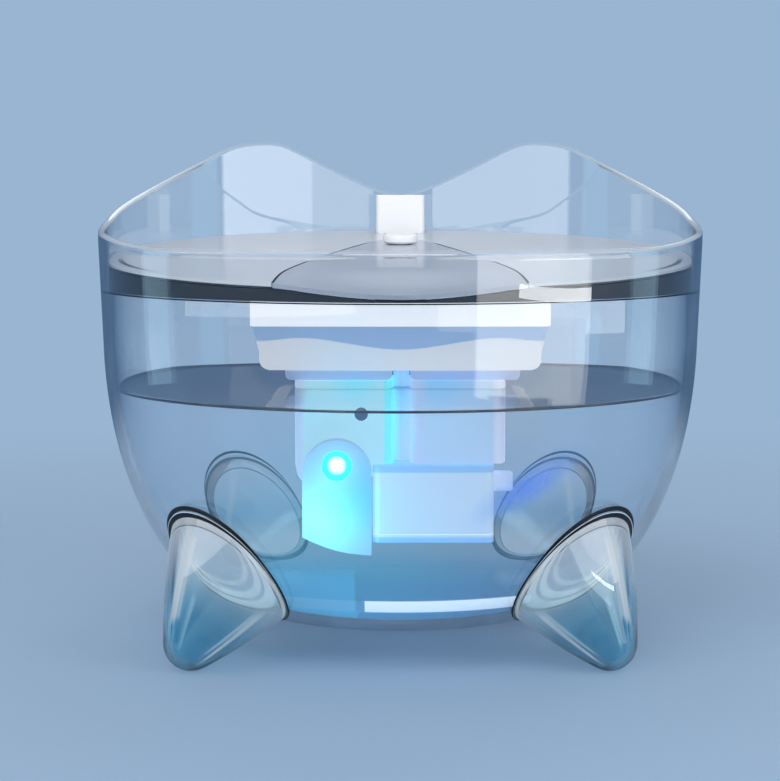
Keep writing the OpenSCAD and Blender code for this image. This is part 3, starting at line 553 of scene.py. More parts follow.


# ear-shaped feet, with rubber lines, a painted dark line and a painted highlight line, and a painted white
# sheen at their roots

feet = {
    "reach": 100.4, "tipR": 9.7, "flat": 5.0, "length": 31.5, "rootR": 26.3, "tilt": 41.0, "swell": 31.0,
    "wall": 3.2, "sideShare": 0.55, "overrun": 12.0, "seat": 0.12, "sharp": 50,
    "around": 96, "along": 40, "tipSteps": 40, "sideSteps": 80, "overrunSteps": 40, "halvings": 12,
    "tiny": 1e-9,
    "places": [("footFrontLeft", "foot_front_left", -135), ("footFrontRight", "foot_front_right", -45),
               ("footRearLeft", "foot_rear_left", 135), ("footRearRight", "foot_rear_right", 45)],
    # strength of the painted sheen and highlight streaks on the front and rear feet
    "frontPale": 0.45, "rearPale": 0.12,
    # tip: painted teal light toward the tip
    "tip": (0.32, 0.7, 0.82), "tipShare": 0.85, "tipHeight": (0.012, 0.05), "edge": (0.5, 0.74, 0.86),
    "edgeSharpness": 4, "paintedSheenLight": 0.7, "paintedSheenAlong": (0.45, 0.95), "paintedSheenLostBelow": 0.7,
    "ridgeStreak": (0.0012, 0.0045), "ridgeRun": (0.3, 0.93, 0.04), "ridgeShare": 0.8,
    "sideStreak": (0.575, 0.635, 0.012), "sideRun": (0.2, 0.8, 0.1), "sideStreakShare": 0.6,
    "streakLight": 2, "streakLimit": 0.75, "streakGrain": 60, "streakSpread": 0.5, "streakBase": 0.55,
}
seams = {
    "from": 0.35, "thin": 0.6, "squash": 0.6, "wallCentre": 0.11, "rearShare": 0.6,
    "outerR": 1.0, "outerRaise": 0.5, "innerR": 0.3, "innerRaise": 0.15,
    "upperR": 0.95, "upperGap": 2.7, "upperThin": 0.12, "upperRaise": 0.3,
    "lightR": 0.16, "lightGap": 1.404, "lightThin": 0.3, "lightRaise": 0.9,
    "rubberAndPaintedLine": {"colour": tint(8, 18, 30), "grain": 400, "roughness": 0.35, "spread": 0.2, "specular": 0.25},
    "light": {"colour": tint(226, 234, 242), "grain": 300, "roughness": 0.3, "spread": 0.1},
}
# painted white sheen inside the feet's roots
sheen = {
    "from": 0.3, "to": 0.98, "rings": 35, "raise": 0.5,
    "streaks": [(0.93, 0.965, 0.008, 0.5), (0.8, 0.885, 0.01, 1.0), (0.705, 0.77, 0.01, 0.95),
                (0.6, 0.645, 0.01, 0.6), (0.42, 0.9, 0.1, 0.2)],  # from, to, softness and share of each loop
    "fade": (0.72, 1.0), "grain": 80, "grainGate": (0.2, 0.75), "grainSpread": 0.3, "grainBase": 0.7,
    "wash": 0.03, "limit": 0.8, "light": 0.9,
    "rearFade": (0.08, 0.5), "rearGrain": 60, "rearSpread": 0.2, "rearBase": 0.8, "rearShare": 0.62,
    "rearWash": 0.02, "rearLight": 0.75,
}


def footFinish(name, pale):  # painted light: teal toward the tip, a painted pale sheen near the root, and painted highlight streaks down its ridge and side
    f = newFinish(name)
    x, y, z = f.xyz()
    along, below = f.carried("along"), f.carried("below")
    # painted teal light toward the tip
    tip = 1 - z.gate(*feet["tipHeight"])
    colour = f.mixColour(tip * feet["tipShare"], clear["tint"], feet["tip"])
    glass = glassShader(f, f.mixColour(edgeOn(f, feet["edgeSharpness"]), colour, feet["edge"]))
    # painted pale sheen near the root
    wash = along.gate(*feet["paintedSheenAlong"]) * (1 - below * feet["paintedSheenLostBelow"]) * clear["paintedSheenShare"] * pale
    grain = f.noise(feet["streakGrain"], 2) * feet["streakSpread"] + feet["streakBase"]
    # painted highlight streaks down the ridge and the side
    ridge = (1 - below.gate(*feet["ridgeStreak"])) * along.band(*feet["ridgeRun"]) * feet["ridgeShare"]
    side = below.band(*feet["sideStreak"]) * along.band(*feet["sideRun"]) * feet["sideStreakShare"]
    streaks = (ridge + side) * grain * pale * feet["streakLight"]
    share = wash.orMore(streaks.orLess(feet["streakLimit"]))
    return f.close(f.mixShaders(share, glass, f.lit(clear["paintedSheen"], feet["paintedSheenLight"])))


def paintedSheenFinish(f, share, light):  # clear, with a painted white sheen over a share of it
    return f.close(f.mixShaders(share, f.seeThrough(), f.lit(clear["paintedSheen"], light)))


def frontSheenFinish():  # painted highlight: white streaks on the bowl's wall inside a foot's root
    f = newFinish("rootSheen")
    ring, top = f.carried("ring"), f.carried("top")
    grain = f.noise(sheen["grain"], 2).gate(*sheen["grainGate"]) * sheen["grainSpread"] + sheen["grainBase"]
    streaks = sum(ring.band(low, high, soft) * share for low, high, soft, share in sheen["streaks"])
    share = (streaks * (1 - top.gate(*sheen["fade"])) * grain + sheen["wash"]) * clear["paintedSheenShare"]
    return paintedSheenFinish(f, share.orLess(sheen["limit"]), sheen["light"])


def rearSheenFinish():  # painted sheen: soft white over the lower end of a rear foot's root
    f = newFinish("rearSheen")
    top = f.carried("top")
    grain = f.noise(sheen["rearGrain"], 2) * sheen["rearSpread"] + sheen["rearBase"]
    share = (1 - top.gate(*sheen["rearFade"])) * grain * sheen["rearShare"] + sheen["rearWash"]
    return paintedSheenFinish(f, share, sheen["rearLight"])


frontLook = {"glass": footFinish("footClear", feet["frontPale"]), "sheen": frontSheenFinish(), "bold": 1.0}
rearLook = {"glass": footFinish("rearFootClear", feet["rearPale"]), "sheen": rearSheenFinish(),
            "bold": seams["rearShare"]}
rubberAndPaintedLine = grainyFinish("seamRubberAndPaintedLine", seams["rubberAndPaintedLine"])
paintedHighlightStrip = grainyFinish("seamPaintedHighlight", seams["light"])


def footLine(inset):  # a foot's side from tip to root, as close points
    r = feet["tipR"] - inset
    s = math.radians(feet["swell"])
    start = Vector((r * math.cos(s), -r * math.sin(s)))
    root = Vector((feet["rootR"] - inset, feet["length"]))
    handle = start + feet["sideShare"] * feet["length"] * Vector((math.sin(s), math.cos(s)))
    way = (root - handle).normalized()
    line = []
    for i in range(feet["tipSteps"] + 1):
        a = -math.pi / 2 + (math.pi / 2 - s) * i / feet["tipSteps"]
        line.append(Vector((r * math.cos(a), r * math.sin(a))))
    for i in range(1, feet["sideSteps"] + 1):
        t = i / feet["sideSteps"]
        line.append((1 - t) ** 2 * start + 2 * (1 - t) * t * handle + t * t * root)
    for i in range(1, feet["overrunSteps"] + 1):
        line.append(root + way * feet["overrun"] * i / feet["overrunSteps"])
    return line


def footPoint(p, turn, azimuth):  # from the foot's own axis to the object's axes
    tipH = math.sqrt(feet["tipR"] ** 2 - feet["flat"] ** 2 / 4)
    tilt = math.radians(feet["tilt"])
    x, y, z = p[0] * math.cos(turn), p[0] * math.sin(turn), p[1]
    x, z = x * math.cos(tilt) - z * math.sin(tilt), x * math.sin(tilt) + z * math.cos(tilt)
    a = math.radians(azimuth)
    radial, across = x + feet["reach"], y
    return Vector((radial * math.cos(a) - across * math.sin(a), radial * math.sin(a) + across * math.cos(a),
                   max(0.0, z + tipH)))


def outOfBowl(p):
    if p[2] <= bowl["base"]:
        return 1.0
    return math.hypot(p[0], p[1]) - sideRadius(min(p[2], bowl["browH"]), -feet["seat"])


def footRay(line, turn, azimuth):  # the points of one side line, up to the bowl
    places = [footPoint(p, turn, azimuth) for p in line]
    low, high = feet["tipSteps"], len(places) - 1
    while high - low > 1:
        mid = (low + high) // 2
        if outOfBowl(places[mid]) > 0:
            low = mid
        else:
            high = mid
    a, b = places[low], places[high]
    for _ in range(feet["halvings"]):
        mid = (a + b) / 2
        if outOfBowl(mid) > 0:
            a = mid
        else:
            b = mid
    return evenly(places[:low + 1] + [a])


def evenly(line):  # points at equal steps along a line
    lengths = [0.0]
    for p, q in zip(line, line[1:]):
        lengths.append(lengths[-1] + (q - p).length)
    out, k = [], 0
    for i in range(1, feet["along"] + 1):
        want = lengths[-1] * i / feet["along"]
        while k < len(lengths) - 2 and lengths[k + 1] < want:
            k += 1
        share = (want - lengths[k]) / max(feet["tiny"], lengths[k + 1] - lengths[k])
        out.append(line[k].lerp(line[k + 1], min(1.0, share)))
    return out


def carry(piece, name, values):  # gives each point of a piece a value that its finish can read
    made = piece.data.attributes.new(name, "FLOAT", "POINT")
    for i, value in enumerate(values):
        made.data[i].value = value


def makeFoot(name, node, azimuth, look):
    around, steps = feet["around"], feet["along"]
    turns = [2 * math.pi * k / around for k in range(around)]
    outerLine, innerLine = footLine(0), footLine(feet["wall"])
    outer = [footRay(outerLine, t, azimuth) for t in turns]
    inner = [footRay(innerLine, t, azimuth) for t in turns]
    rows = [[ray[i] * mm for ray in outer] for i in range(steps)]
    rows += [[ray[i] * mm for ray in inner] for i in reversed(range(steps))]
    points, faces = ringGrid(rows)
    fanCap(points, faces, footPoint(outerLine[0], 0, azimuth) * mm, 0, around)
    last = (len(rows) - 1) * around
    fanCap(points, faces, footPoint(innerLine[0], 0, azimuth) * mm, last, around, flipped=True)
    foot = makePiece(name, points, faces, look["glass"], "bowl", feet["sharp"])
    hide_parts(node)
    along = [min(row, 2 * steps - 1 - row) / (steps - 1) for row in range(2 * steps) for _ in turns]
    below = [0.5 - 0.5 * math.cos(turn) for _ in range(2 * steps) for turn in turns]
    carry(foot, "along", along + [0.0, 0.0])
    carry(foot, "below", below + [0.5, 0.5])
    makeSeams(name, [ray[-1] * mm for ray in outer], [ray[-1] * mm for ray in inner], look["bold"])
    makeSheen(name, [ray[-1] for ray in outer], look["sheen"])


def makeSeams(name, root, innerRoot, bold):  # a foot's rubber lines, bolder toward the top of its root, with a painted dark line for the seam seen through the bowl's wall and a painted highlight line
    out = [Vector((p[0], p[1], p[2] - seams["wallCentre"])).normalized() for p in root]
    low, high = min(p[2] for p in root), max(p[2] for p in root)
    middle = sum(root, Vector()) / len(root)
    rise = [((p[2] - low) / (high - low) - seams["from"]) / (1 - seams["from"]) for p in root]
    share = [min(1.0, max(0.0, w)) for w in rise]
    swell = [seams["thin"] + (1 - seams["thin"]) * w * w * (3 - 2 * w) for w in share]
    apart = [((p - middle) - (p - middle).dot(o) * o).normalized() for p, o in zip(root, out)]

    def moved(gap):
        return [p + v * w * w * gap * mm for p, v, w in zip(root, apart, share)]

    seamTube(name + "Seam", root, out, swell, seams["outerR"] * bold, seams["outerRaise"], rubberAndPaintedLine)
    seamTube(name + "InnerSeam", innerRoot, out, swell, seams["innerR"] * bold, seams["innerRaise"], rubberAndPaintedLine)
    # painted dark line: the seam seen through the bowl's wall
    swell = [max(seams["upperThin"], w * w) for w in share]
    seamTube(name + "UpperSeam", moved(seams["upperGap"]), out, swell, seams["upperR"] * bold,
             seams["upperRaise"], rubberAndPaintedLine)
    # painted highlight line beside the seam
    swell = [max(seams["lightThin"], w) for w in share]
    seamTube(name + "PaintedHighlightStrip", moved(seams["lightGap"]), out, swell, seams["lightR"], seams["lightRaise"],
             paintedHighlightStrip)


def seamTube(name, line, out, swell, radius, raised, finish):
    line = [p + o * raised * mm for p, o in zip(line, out)]
    points, faces = tubeAlong(line, radius * mm, seams["squash"], out, swell)
    makePiece(name, points, faces, finish, "bowl")


def makeSheen(name, line, finish):  # loops that all pass near the top of the root and fan out below
    top = max(line, key=lambda p: p[2])
    low = min(p[2] for p in line)
    rings, last = sheen["rings"], sheen["rings"] - 1
    shares = [sheen["from"] + (sheen["to"] - sheen["from"]) * i / last for i in range(rings)]
    rows = []
    for share in shares:
        row = []
        for p in line:
            q = top + (p - top) * share
            r, a = sideRadius(q[2], -sheen["raise"]), math.atan2(q[1], q[0])
            row.append(Vector((r * math.cos(a), r * math.sin(a), q[2])) * mm)
        rows.append(row)
    points, faces = ringGrid(rows)
    fanCap(points, faces, sum(rows[0], Vector()) / len(line), 0, len(line))
    made = makePiece(name + "Sheen", points, faces, finish, "bowl")
    carry(made, "ring", [share for share in shares for _ in line] + [0.0])
    carry(made, "top", [(p[2] / mm - low) / (top[2] - low) for p in points])


for name, node, azimuth in feet["places"]:
    makeFoot(name, node, azimuth, frontLook if azimuth < 0 else rearLook)
print("feet ready")


# water, which the solids leave out

water = {
    "level": 91.6, "gap": 0.25, "around": 180, "sideSteps": 40, "topSteps": 24, "topFrom": 0.05,
    "topEdge": (0.975, 0.99, 1.0), "meniscus": 1.1, "meniscusFrom": 0.95,
    # top: painted dark reflection on the water's surface
    "top": tint(40, 66, 104), "topAlpha": 0.82, "topRoughness": 0.04, "ior": 1.33, "ripple": 24,
    "rippleDepth": 0.0004, "rippleShare": 0.4,
    "imageX": (-0.0345, 0.0345, 0.004), "imageY": (-0.034, -0.02), "imageShare": 0.8,
    "body": tint(90, 165, 225), "bodyAlpha": 0.06, "bodyRoughness": 0.3, "bodyLight": 0.35,
    "front": (-0.05, -0.03),
    "glow": tint(70, 215, 255), "glowPlace": (-0.022, 0.035), "glowReach": (0.01, 0.075), "glowAlpha": 0.06,
    "beside": tint(50, 120, 245), "besidePlace": (0.041, 0.066), "besideLean": (0.85, 0.52),
    "besideShape": (0.07, 0.7), "besideReach": 0.0075, "besideFront": (-0.06, -0.04), "besideAlpha": 0.5,
    "deep": tint(48, 156, 220), "deepHeight": (0.026, 0.05), "deepShare": 0.8, "deepAlpha": 0.26,
    "patch": tint(84, 196, 246), "patchX": (-0.0432, -0.0148, 0.0006), "patchHeight": (0.034, 0.042),
    "patchAlpha": 0.24,
    "band": tint(196, 222, 246), "bandZ": (0.0220, 0.0266, 0.0003), "bandX": (-0.0118, 0.044, 0.0002),
    "bandElsewhere": 0.1, "bandAlpha": 0.6, "bandLight": (1.55, 1.9, 2.2),
    "edge": tint(14, 28, 50), "edgeR": 0.42, "edgeRaise": 0.3, "edgeFront": (-0.06, 0.02),
    "edgeFrontAlpha": 0.75, "edgeAlpha": 0.1, "edgeGrain": 30, "edgeSpread": 0.1, "edgeRoughness": 0.2,
}


def waterTopFinish():
    f = newFinish("waterTop")
    x, y, z = f.xyz()
    image = x.band(*water["imageX"]) * (1 - y.gate(*water["imageY"]))  # less of the painted dark reflection here, where the white module shows in it
    # the dark top colour is a painted reflection
    return f.close(f.solid(
        colour=water["top"], alpha=(1 - image * water["imageShare"]) * water["topAlpha"],
        roughness=water["topRoughness"], ior=water["ior"],
        normal=f.bump(f.noise(water["ripple"], 2), water["rippleDepth"], water["rippleShare"])))


def waterBodyFinish():  # a faint haze glowing with painted light, with a painted glow of the lamp, a painted blue glint, painted teal light low in front, a bright patch that is a painted reflection of the lamp housing, and a painted highlight band over the base
    f = newFinish("waterBody")
    x, y, z = f.xyz()
    front = 1 - y.gate(*water["front"])
    # painted glow of the lamp
    near = 1 - away(x, z, water["glowPlace"]).gate(*water["glowReach"])
    # beside: painted blue glint beside the knob
    right, up = x - water["besidePlace"][0], z - water["besidePlace"][1]
    lean, rest = water["besideLean"]
    run, rise = right * lean + up * rest, up * lean - right * rest
    long, thin = water["besideShape"]
    oval = (run * run * long + rise * rise * thin) ** 0.5
    beside = (1 - oval.gate(0.0, water["besideReach"])) * (1 - y.gate(*water["besideFront"]))
    # painted teal light low in front
    deep = (1 - z.gate(*water["deepHeight"])) * front
    # bright patch: painted reflection of the lamp housing
    patch = x.band(*water["patchX"]) * (1 - z.gate(*water["patchHeight"])) * front
    wide = x.band(*water["bandX"]) * (1 - water["bandElsewhere"]) + water["bandElsewhere"]
    # painted highlight band over the base
    band = z.band(*water["bandZ"]) * front * wide
    haze = f.mixColour(near, water["body"], water["glow"])
    haze = f.mixColour(beside, haze, water["beside"])
    haze = f.mixColour(deep * water["deepShare"], haze, water["deep"])
    haze = f.mixColour(patch, haze, water["patch"])
    haze = f.mixColour(band, haze, water["band"])
    alpha = (near * water["glowAlpha"] + beside * water["besideAlpha"] + band * water["bandAlpha"]
             + deep * water["deepAlpha"] + patch * water["patchAlpha"] + water["bodyAlpha"])
    # the haze glows with painted light
    return f.close(f.solid(
        colour=haze, alpha=alpha, roughness=water["bodyRoughness"], specular=0.0,
        glow=f.mixColour(band, haze, water["bandLight"]), glowStrength=water["bodyLight"]))


def waterEdgeFinish():  # painted shade: a dark line along the water's edge, clearest at the front
    f = newFinish("waterEdge")
    x, y, z = f.xyz()
    front = 1 - y.gate(*water["edgeFront"])
    uneven = f.noise(water["edgeGrain"], 1) * water["edgeSpread"]
    alpha = front * water["edgeFrontAlpha"] + uneven + water["edgeAlpha"]
    return f.close(f.solid(colour=water["edge"], alpha=alpha, roughness=water["edgeRoughness"]))


def makeWater():
    around, level = water["around"], water["level"]
    wallR = sideRadius(level, bowl["wall"]) - water["gap"]
    steps, start, brim = water["topSteps"], water["topFrom"], water["meniscusFrom"]
    rows = []
    for share in [start + (1 - start) * i / steps for i in range(steps)] + list(water["topEdge"]):
        lift = water["meniscus"] * max(0.0, (share - brim) / (1 - brim)) ** 2
        rows.append(circle(wallR * share, level + lift, around))
    points, faces = ringGrid(rows)
    fanCap(points, faces, turned(0, level, 0), 0, around)
    makePiece("waterTop", points, faces, waterTopFinish(), "bowl")

    inset, steps = bowl["wall"] + water["gap"], water["sideSteps"]
    side = [sidePoint(1 - i / steps, inset) for i in range(steps + 1)]
    rows = [circle(r, h, around) for r, h in side if h <= level]
    rows.append(circle(wallR, level, around))
    points, faces = ringGrid(rows)
    fanCap(points, faces, turned(0, bowl["base"] + inset, 0), 0, around)
    makePiece("waterBody", points, faces, waterBodyFinish(), "bowl")

    line = circle(wallR - water["edgeR"], level + water["edgeRaise"], around)
    points, faces = tubeAlong(line, water["edgeR"] * mm)
    makePiece("waterEdge", points, faces, waterEdgeFinish(), "bowl")


makeWater()
print("water ready")


# tray: painted highlight on its edge, a groove near the rim darkened with painted shade, dark side below the
# edge

tray = {
    "tilt": 3.5, "midH": 138.7, "colour": tint(209, 217, 228), "edge": tint(228, 234, 240),
    "edgeR": (0.1052, 0.1056), "groove": tint(30, 40, 54), "grooveR": (0.1012, 0.1030, 0.0002),
    "grooveX": (0.078, 0.094), "grooveY": (-0.03, -0.008), "under": tint(9, 17, 27),
    "underDrop": (0.0009, 0.0011), "underR": (0.1046, 0.1050),
    "grain": 1100, "grainShare": 0.1, "roughness": 0.32, "spread": 0.1, "coat": 0.2,
    "grooveDepth": 0.00025, "grooveShare": 0.6,
}


def trayFinish():
    f = newFinish("trayShell")
    x, y, z = f.xyz()
    r = away(x, y, (0, 0))
    speck = f.noise(tray["grain"], 3)
    groove = r.band(*tray["grooveR"]) * x.size().gate(*tray["grooveX"]) * (1 - y.gate(*tray["grooveY"]))
    drop = y * math.tan(math.radians(tray["tilt"])) + tray["midH"] * mm - z  # how far below the tray's top
    # painted highlight at the tray's edge
    colour = f.mixColour(r.gate(*tray["edgeR"]), tray["colour"], tray["edge"])
    # painted shade in the groove
    colour = f.mixColour(groove, colour, tray["groove"])
    colour = f.mixColour(drop.gate(*tray["underDrop"]) * r.gate(*tray["underR"]), colour, tray["under"])
    return f.close(f.solid(
        colour=colour, roughness=speck.around(tray["roughness"], tray["spread"]), coat=tray["coat"],
        normal=f.bump(speck * tray["grainShare"] - groove, tray["grooveDepth"], tray["grooveShare"])))


# filter box: white, glowing with painted light that is brighter on its flange and near the lamp, with the
# soft wavy shade that the lip above throws on its tapered band painted on, and its tubs painted darker

box = {
    "colour": tint(246, 248, 252), "shade": tint(176, 202, 236), "wave": 0.1069, "waveRise": 0.0044,
    "waveOut": (0.0, 0.036), "waveFall": 0.0012, "waveEnd": (0.036, 0.05), "waveSoft": (-0.0003, 0.0004),
    "flange": (0.1153, 0.1157), "tubs": (0.0975, 0.0988), "shadeShare": 0.8,
    "light": 0.62, "bodyLight": 0.6, "flangeLight": 1.15, "shadeLight": (0.16, 0.29, 0.5),
    "shadeLightShare": 0.9, "tubLight": (0.1, 0.13, 0.24), "glow": tint(150, 205, 240),
    "glowPlace": (-0.018, 0.092), "glowReach": (0.004, 0.03), "glowShare": 0.4,
    "grain": 900, "depth": 0.00002, "depthShare": 0.5, "roughness": 0.34, "spread": 0.1,
}


def boxFinish():
    f = newFinish("boxShell")
    x, y, z = f.xyz()
    out = x.size()
    rise, fall = out.gate(*box["waveOut"]) * box["waveRise"], out.gate(*box["waveEnd"]) * box["waveFall"]
    wave = rise + box["wave"] - fall
    flange = z.gate(*box["flange"])
    shade = (z - wave).gate(*box["waveSoft"]) * (1 - flange)
    tubs = 1 - z.gate(*box["tubs"])
    near = 1 - away(x, z, box["glowPlace"]).gate(*box["glowReach"])
    speck = f.noise(box["grain"], 3)
    # painted light: the box glows, brighter on its flange
    lit = f.mixColour(flange, *[scaled(box["colour"], box[key]) for key in ("bodyLight", "flangeLight")])
    # painted pool of the lamp's light
    lit = f.mixColour(near * box["glowShare"], lit, box["glow"])
    # painted shadow of the lip
    lit = f.mixColour(shade * box["shadeLightShare"], lit, box["shadeLight"])
    # tubs: less painted light
    lit = f.mixColour(tubs, lit, box["tubLight"])
    # colour: painted shade on the wavy band and on the tubs
    return f.close(f.solid(
        colour=f.mixColour((shade + tubs) * box["shadeShare"], box["colour"], box["shade"]),
        roughness=speck.around(box["roughness"], box["spread"]),
        normal=f.bump(speck, box["depth"], box["depthShare"]), glow=lit, glowStrength=box["light"]))


# lamp board: a white square chip on cyan

chip = {"place": (-0.0226, 0.0646), "half": (0.001, 0.0037), "board": tint(150, 250, 248),
        "boardLight": tint(120, 250, 248), "chip": (1, 1, 1), "light": 0.9, "grain": 600, "roughness": 0.3,
        "spread": 0.1}


def chipFinish():
    f = newFinish("chipShell")
    x, y, z = f.xyz()
    across, up = (x - chip["place"][0]).size(), (z - chip["place"][1]).size()
    square = (1 - across.gate(*chip["half"])) * (1 - up.gate(*chip["half"]))
    return f.close(f.solid(
        colour=f.mixColour(square, chip["board"], chip["chip"]),
        roughness=f.noise(chip["grain"], 2) * chip["spread"] + chip["roughness"],
        glow=f.mixColour(square, chip["boardLight"], chip["chip"]), glowStrength=chip["light"]))


# plain plastics, metals and the frosted pieces, which glow with painted light from the lamp

white = tint(240, 243, 247)
plastic = {
    "grain": 900, "depth": 0.00002, "depthShare": 0.5, "spread": 0.12, "clouds": 14,
    "cloudGate": (0.3, 0.7), "cloudShade": 0.93,
    "kinds": {
        "spillShell": {"on": ["spillway"], "colour": tint(181, 190, 206), "roughness": 0.34, "coat": 0.2},
        "ringShell": {"on": ["support_ring"], "colour": tint(9, 17, 27), "roughness": 0.5},
        "blockShell": {"on": ["power_block", "outlet_cap"], "colour": white, "roughness": 0.38},
        "socketShell": {"on": ["inlet_socket", "lid_gasket", "rotor_magnet"], "colour": tint(96, 104, 114),
                        "roughness": 0.45},
        "lidShell": {"on": ["filter_lid", "outlet_tube", "cartridge_shell", "cartridge_cover"],
                     "colour": white, "roughness": 0.42},
        "wheelShell": {"on": ["impeller"], "colour": white, "roughness": 0.4},
        "carbonGrains": {"on": ["carbon_bed"], "colour": tint(44, 46, 50), "roughness": 0.85, "grain": 2200,
                         "depth": 0.0004},
        "foamGrains": {"on": ["foam_pad"], "colour": tint(226, 234, 240), "roughness": 0.9, "grain": 1500,
                       "depth": 0.0003},
    },
}
metal = {
    "grain": 700, "spread": 0.15,
    "kinds": {
        "screwSteel": {"on": ["box_screws", "pump_shaft"], "colour": tint(196, 200, 206), "roughness": 0.28},
        "bushBrass": {"on": ["shaft_bush"], "colour": tint(190, 160, 100), "roughness": 0.35},
        "coilCopper": {"on": ["stator_coil"], "colour": tint(196, 120, 74), "roughness": 0.35},
        "coreSteel": {"on": ["stator_core"], "colour": tint(120, 126, 134), "roughness": 0.4},
    },
}
frosted = {  # these pieces glow with painted light; glow: colour of the painted light near its centre; everywhere: how much of the own colour shines
    "grain": 900, "depth": 0.00002, "depthShare": 0.5, "roughness": 0.35, "spread": 0.1,
    "glowTint": 0.6, "markLight": 0.8,
    "kinds": {
        "leftColumnShell": {
            "on": ["left_column"], "colour": tint(190, 238, 246), "glow": tint(118, 230, 255),
            "centre": (-0.016, 0.097), "reach": 0.014, "light": 0.54, "everywhere": 0.82,
            # marks: a painted cyan edge glow, then a painted paler left side
            "marks": [{"x": (-0.0058, -0.001, 0.0004), "colour": tint(120, 250, 255), "share": 0.9},
                      {"x": (-0.05, -0.0345, 0.0012), "colour": tint(206, 216, 248), "share": 0.7}]},
        "rightColumnShell": {
            "on": ["right_column"], "colour": tint(196, 222, 246), "glow": tint(130, 205, 255),
            "centre": (0.014, 0.098), "reach": 0.02, "light": 0.48, "everywhere": 0.78,
            # marks: a painted lighter right side, then a lighter stripe near the middle
            "marks": [{"x": (0.0335, 0.05, 0.0008), "colour": tint(228, 230, 250), "share": 0.8},
                      {"x": (0.0, 0.0085, 0.0012), "colour": tint(204, 216, 246), "share": 0.6}]},
        "pipeShell": {
            "on": ["riser_pipe"], "colour": tint(206, 224, 248), "glow": tint(150, 210, 250),
            "centre": (0.0, 0.09), "reach": 0.02, "light": 0.4, "everywhere": 0.5},
        "pumpShell": {
            "on": ["pump_body", "pump_cover"], "colour": tint(212, 228, 246), "glow": tint(170, 228, 252),
            "centre": (-0.014, 0.05), "reach": 0.012, "light": 0.44, "everywhere": 0.8,
            # marks: painted shade bands at the top and at the bottom
            "marks": [{"z": (0.0622, 0.07, 0.0004), "colour": tint(140, 196, 246), "share": 0.8},
                      {"z": (0.03, 0.0388, 0.0006), "colour": tint(130, 196, 255), "share": 0.8}]},
        "knobShell": {
            "on": ["flow_knob"], "colour": tint(214, 226, 248), "glow": tint(214, 226, 248),
            "centre": (0.037, 0.06), "reach": 0.006, "light": 0.36, "everywhere": 0.8},
        "lampShell": {
            "on": ["lamp_housing"], "colour": tint(206, 218, 246), "glow": tint(112, 204, 246),
            "centre": (-0.0120, 0.0530), "reach": 0.021, "light": 0.13, "everywhere": 0.75,
            # mark: a painted highlight on the left edge
            "marks": [{"x": (-0.04, -0.0335, 0.0012), "colour": tint(214, 222, 250), "share": 0.8}]},
        "lensShell": {
            "on": ["lamp_lens"], "colour": tint(80, 235, 245), "glow": tint(40, 232, 226),
            "centre": (-0.0226, 0.0646), "reach": 0.02, "light": 0.7, "everywhere": 0.5},
    },
}


def plasticFinish(name, kind):
    f = newFinish(name)
    speck = f.noise(kind.get("grain", plastic["grain"]), 3)
    clouds = f.noise(plastic["clouds"], 2).gate(*plastic["cloudGate"])
    return f.close(f.solid(
        colour=f.mixColour(clouds, kind["colour"], scaled(kind["colour"], plastic["cloudShade"])),
        roughness=speck.around(kind["roughness"], plastic["spread"]), coat=kind.get("coat", 0.0),
        normal=f.bump(speck, kind.get("depth", plastic["depth"]), plastic["depthShare"])))


def metalFinish(name, kind):
    f = newFinish(name)
    speck = f.noise(metal["grain"], 2)
    return f.close(f.solid(colour=kind["colour"], metallic=1.0,
                           roughness=speck.around(kind["roughness"], metal["spread"])))


def frostedFinish(name, kind):
    f = newFinish(name)
    x, y, z = f.xyz()
    near = 1 - (away(x, z, kind["centre"]) / kind["reach"]).gate(0.0, 1.0)
    speck = f.noise(frosted["grain"], 3)
    shell = f.mixColour(near * frosted["glowTint"], kind["colour"], kind["glow"])
    lit = f.mixColour(near, scaled(kind["colour"], kind["everywhere"]), kind["glow"])
    for mark in kind.get("marks", []):  # a stripe painted lighter or darker, standing for light and shade on the piece
        here = (x.band(*mark["x"]) if "x" in mark else z.band(*mark["z"])) * mark["share"]
        shell = f.mixColour(here, shell, mark["colour"])
        lit = f.mixColour(here, lit, scaled(mark["colour"], frosted["markLight"]))
    return f.close(f.solid(
        colour=shell, roughness=speck.around(frosted["roughness"], frosted["spread"]),
        normal=f.bump(speck, frosted["depth"], frosted["depthShare"]), glow=lit, glowStrength=kind["light"]))


def wear(finish, names):
    for name in names:
        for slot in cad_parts[name].material_slots:
            slot.material = finish


wear(trayFinish(), ["tray"])
wear(boxFinish(), ["filter_box"])
wear(chipFinish(), ["lamp_board"])
for group, makeFinish in ((plastic, plasticFinish), (metal, metalFinish), (frosted, frostedFinish)):
    for name, kind in group["kinds"].items():
        wear(makeFinish(name, kind), kind["on"])
print("solid pieces painted")


# round sensor window in the left column

sensor = {"x": -14.0, "z": 82.4, "r": 2.4, "front": -24.9, "depth": 0.6, "round": 0.2, "hub": 0.2,
          "sides": 40, "sharp": 30, "colour": tint(84, 104, 128), "grain": 500, "roughness": 0.2,
          "spread": 0.1, "coat": 0.3}


def makeSensor():
    sides, bevel = sensor["sides"], sensor["round"]
    turns = [2 * math.pi * k / sides for k in range(sides)]
    rows = []
    for y, r in ((0.0, sensor["hub"]), (0.0, sensor["r"] - bevel), (bevel, sensor["r"]),
                 (sensor["depth"], sensor["r"]), (sensor["depth"], sensor["hub"])):
        rows.append([Vector((sensor["x"] + r * math.cos(a), sensor["front"] + y,
                             sensor["z"] + r * math.sin(a))) * mm for a in turns])
    points, faces = ringGrid(rows)
    last = (len(rows) - 1) * sides
    faces += [tuple(reversed(range(sides))), tuple(range(last, last + sides))]
    glass = grainyFinish("sensorGlass", sensor)
    makePiece("sensorWindow", points, faces, glass, "frame", sensor["sharp"])


makeSensor()
print("sensor window ready")


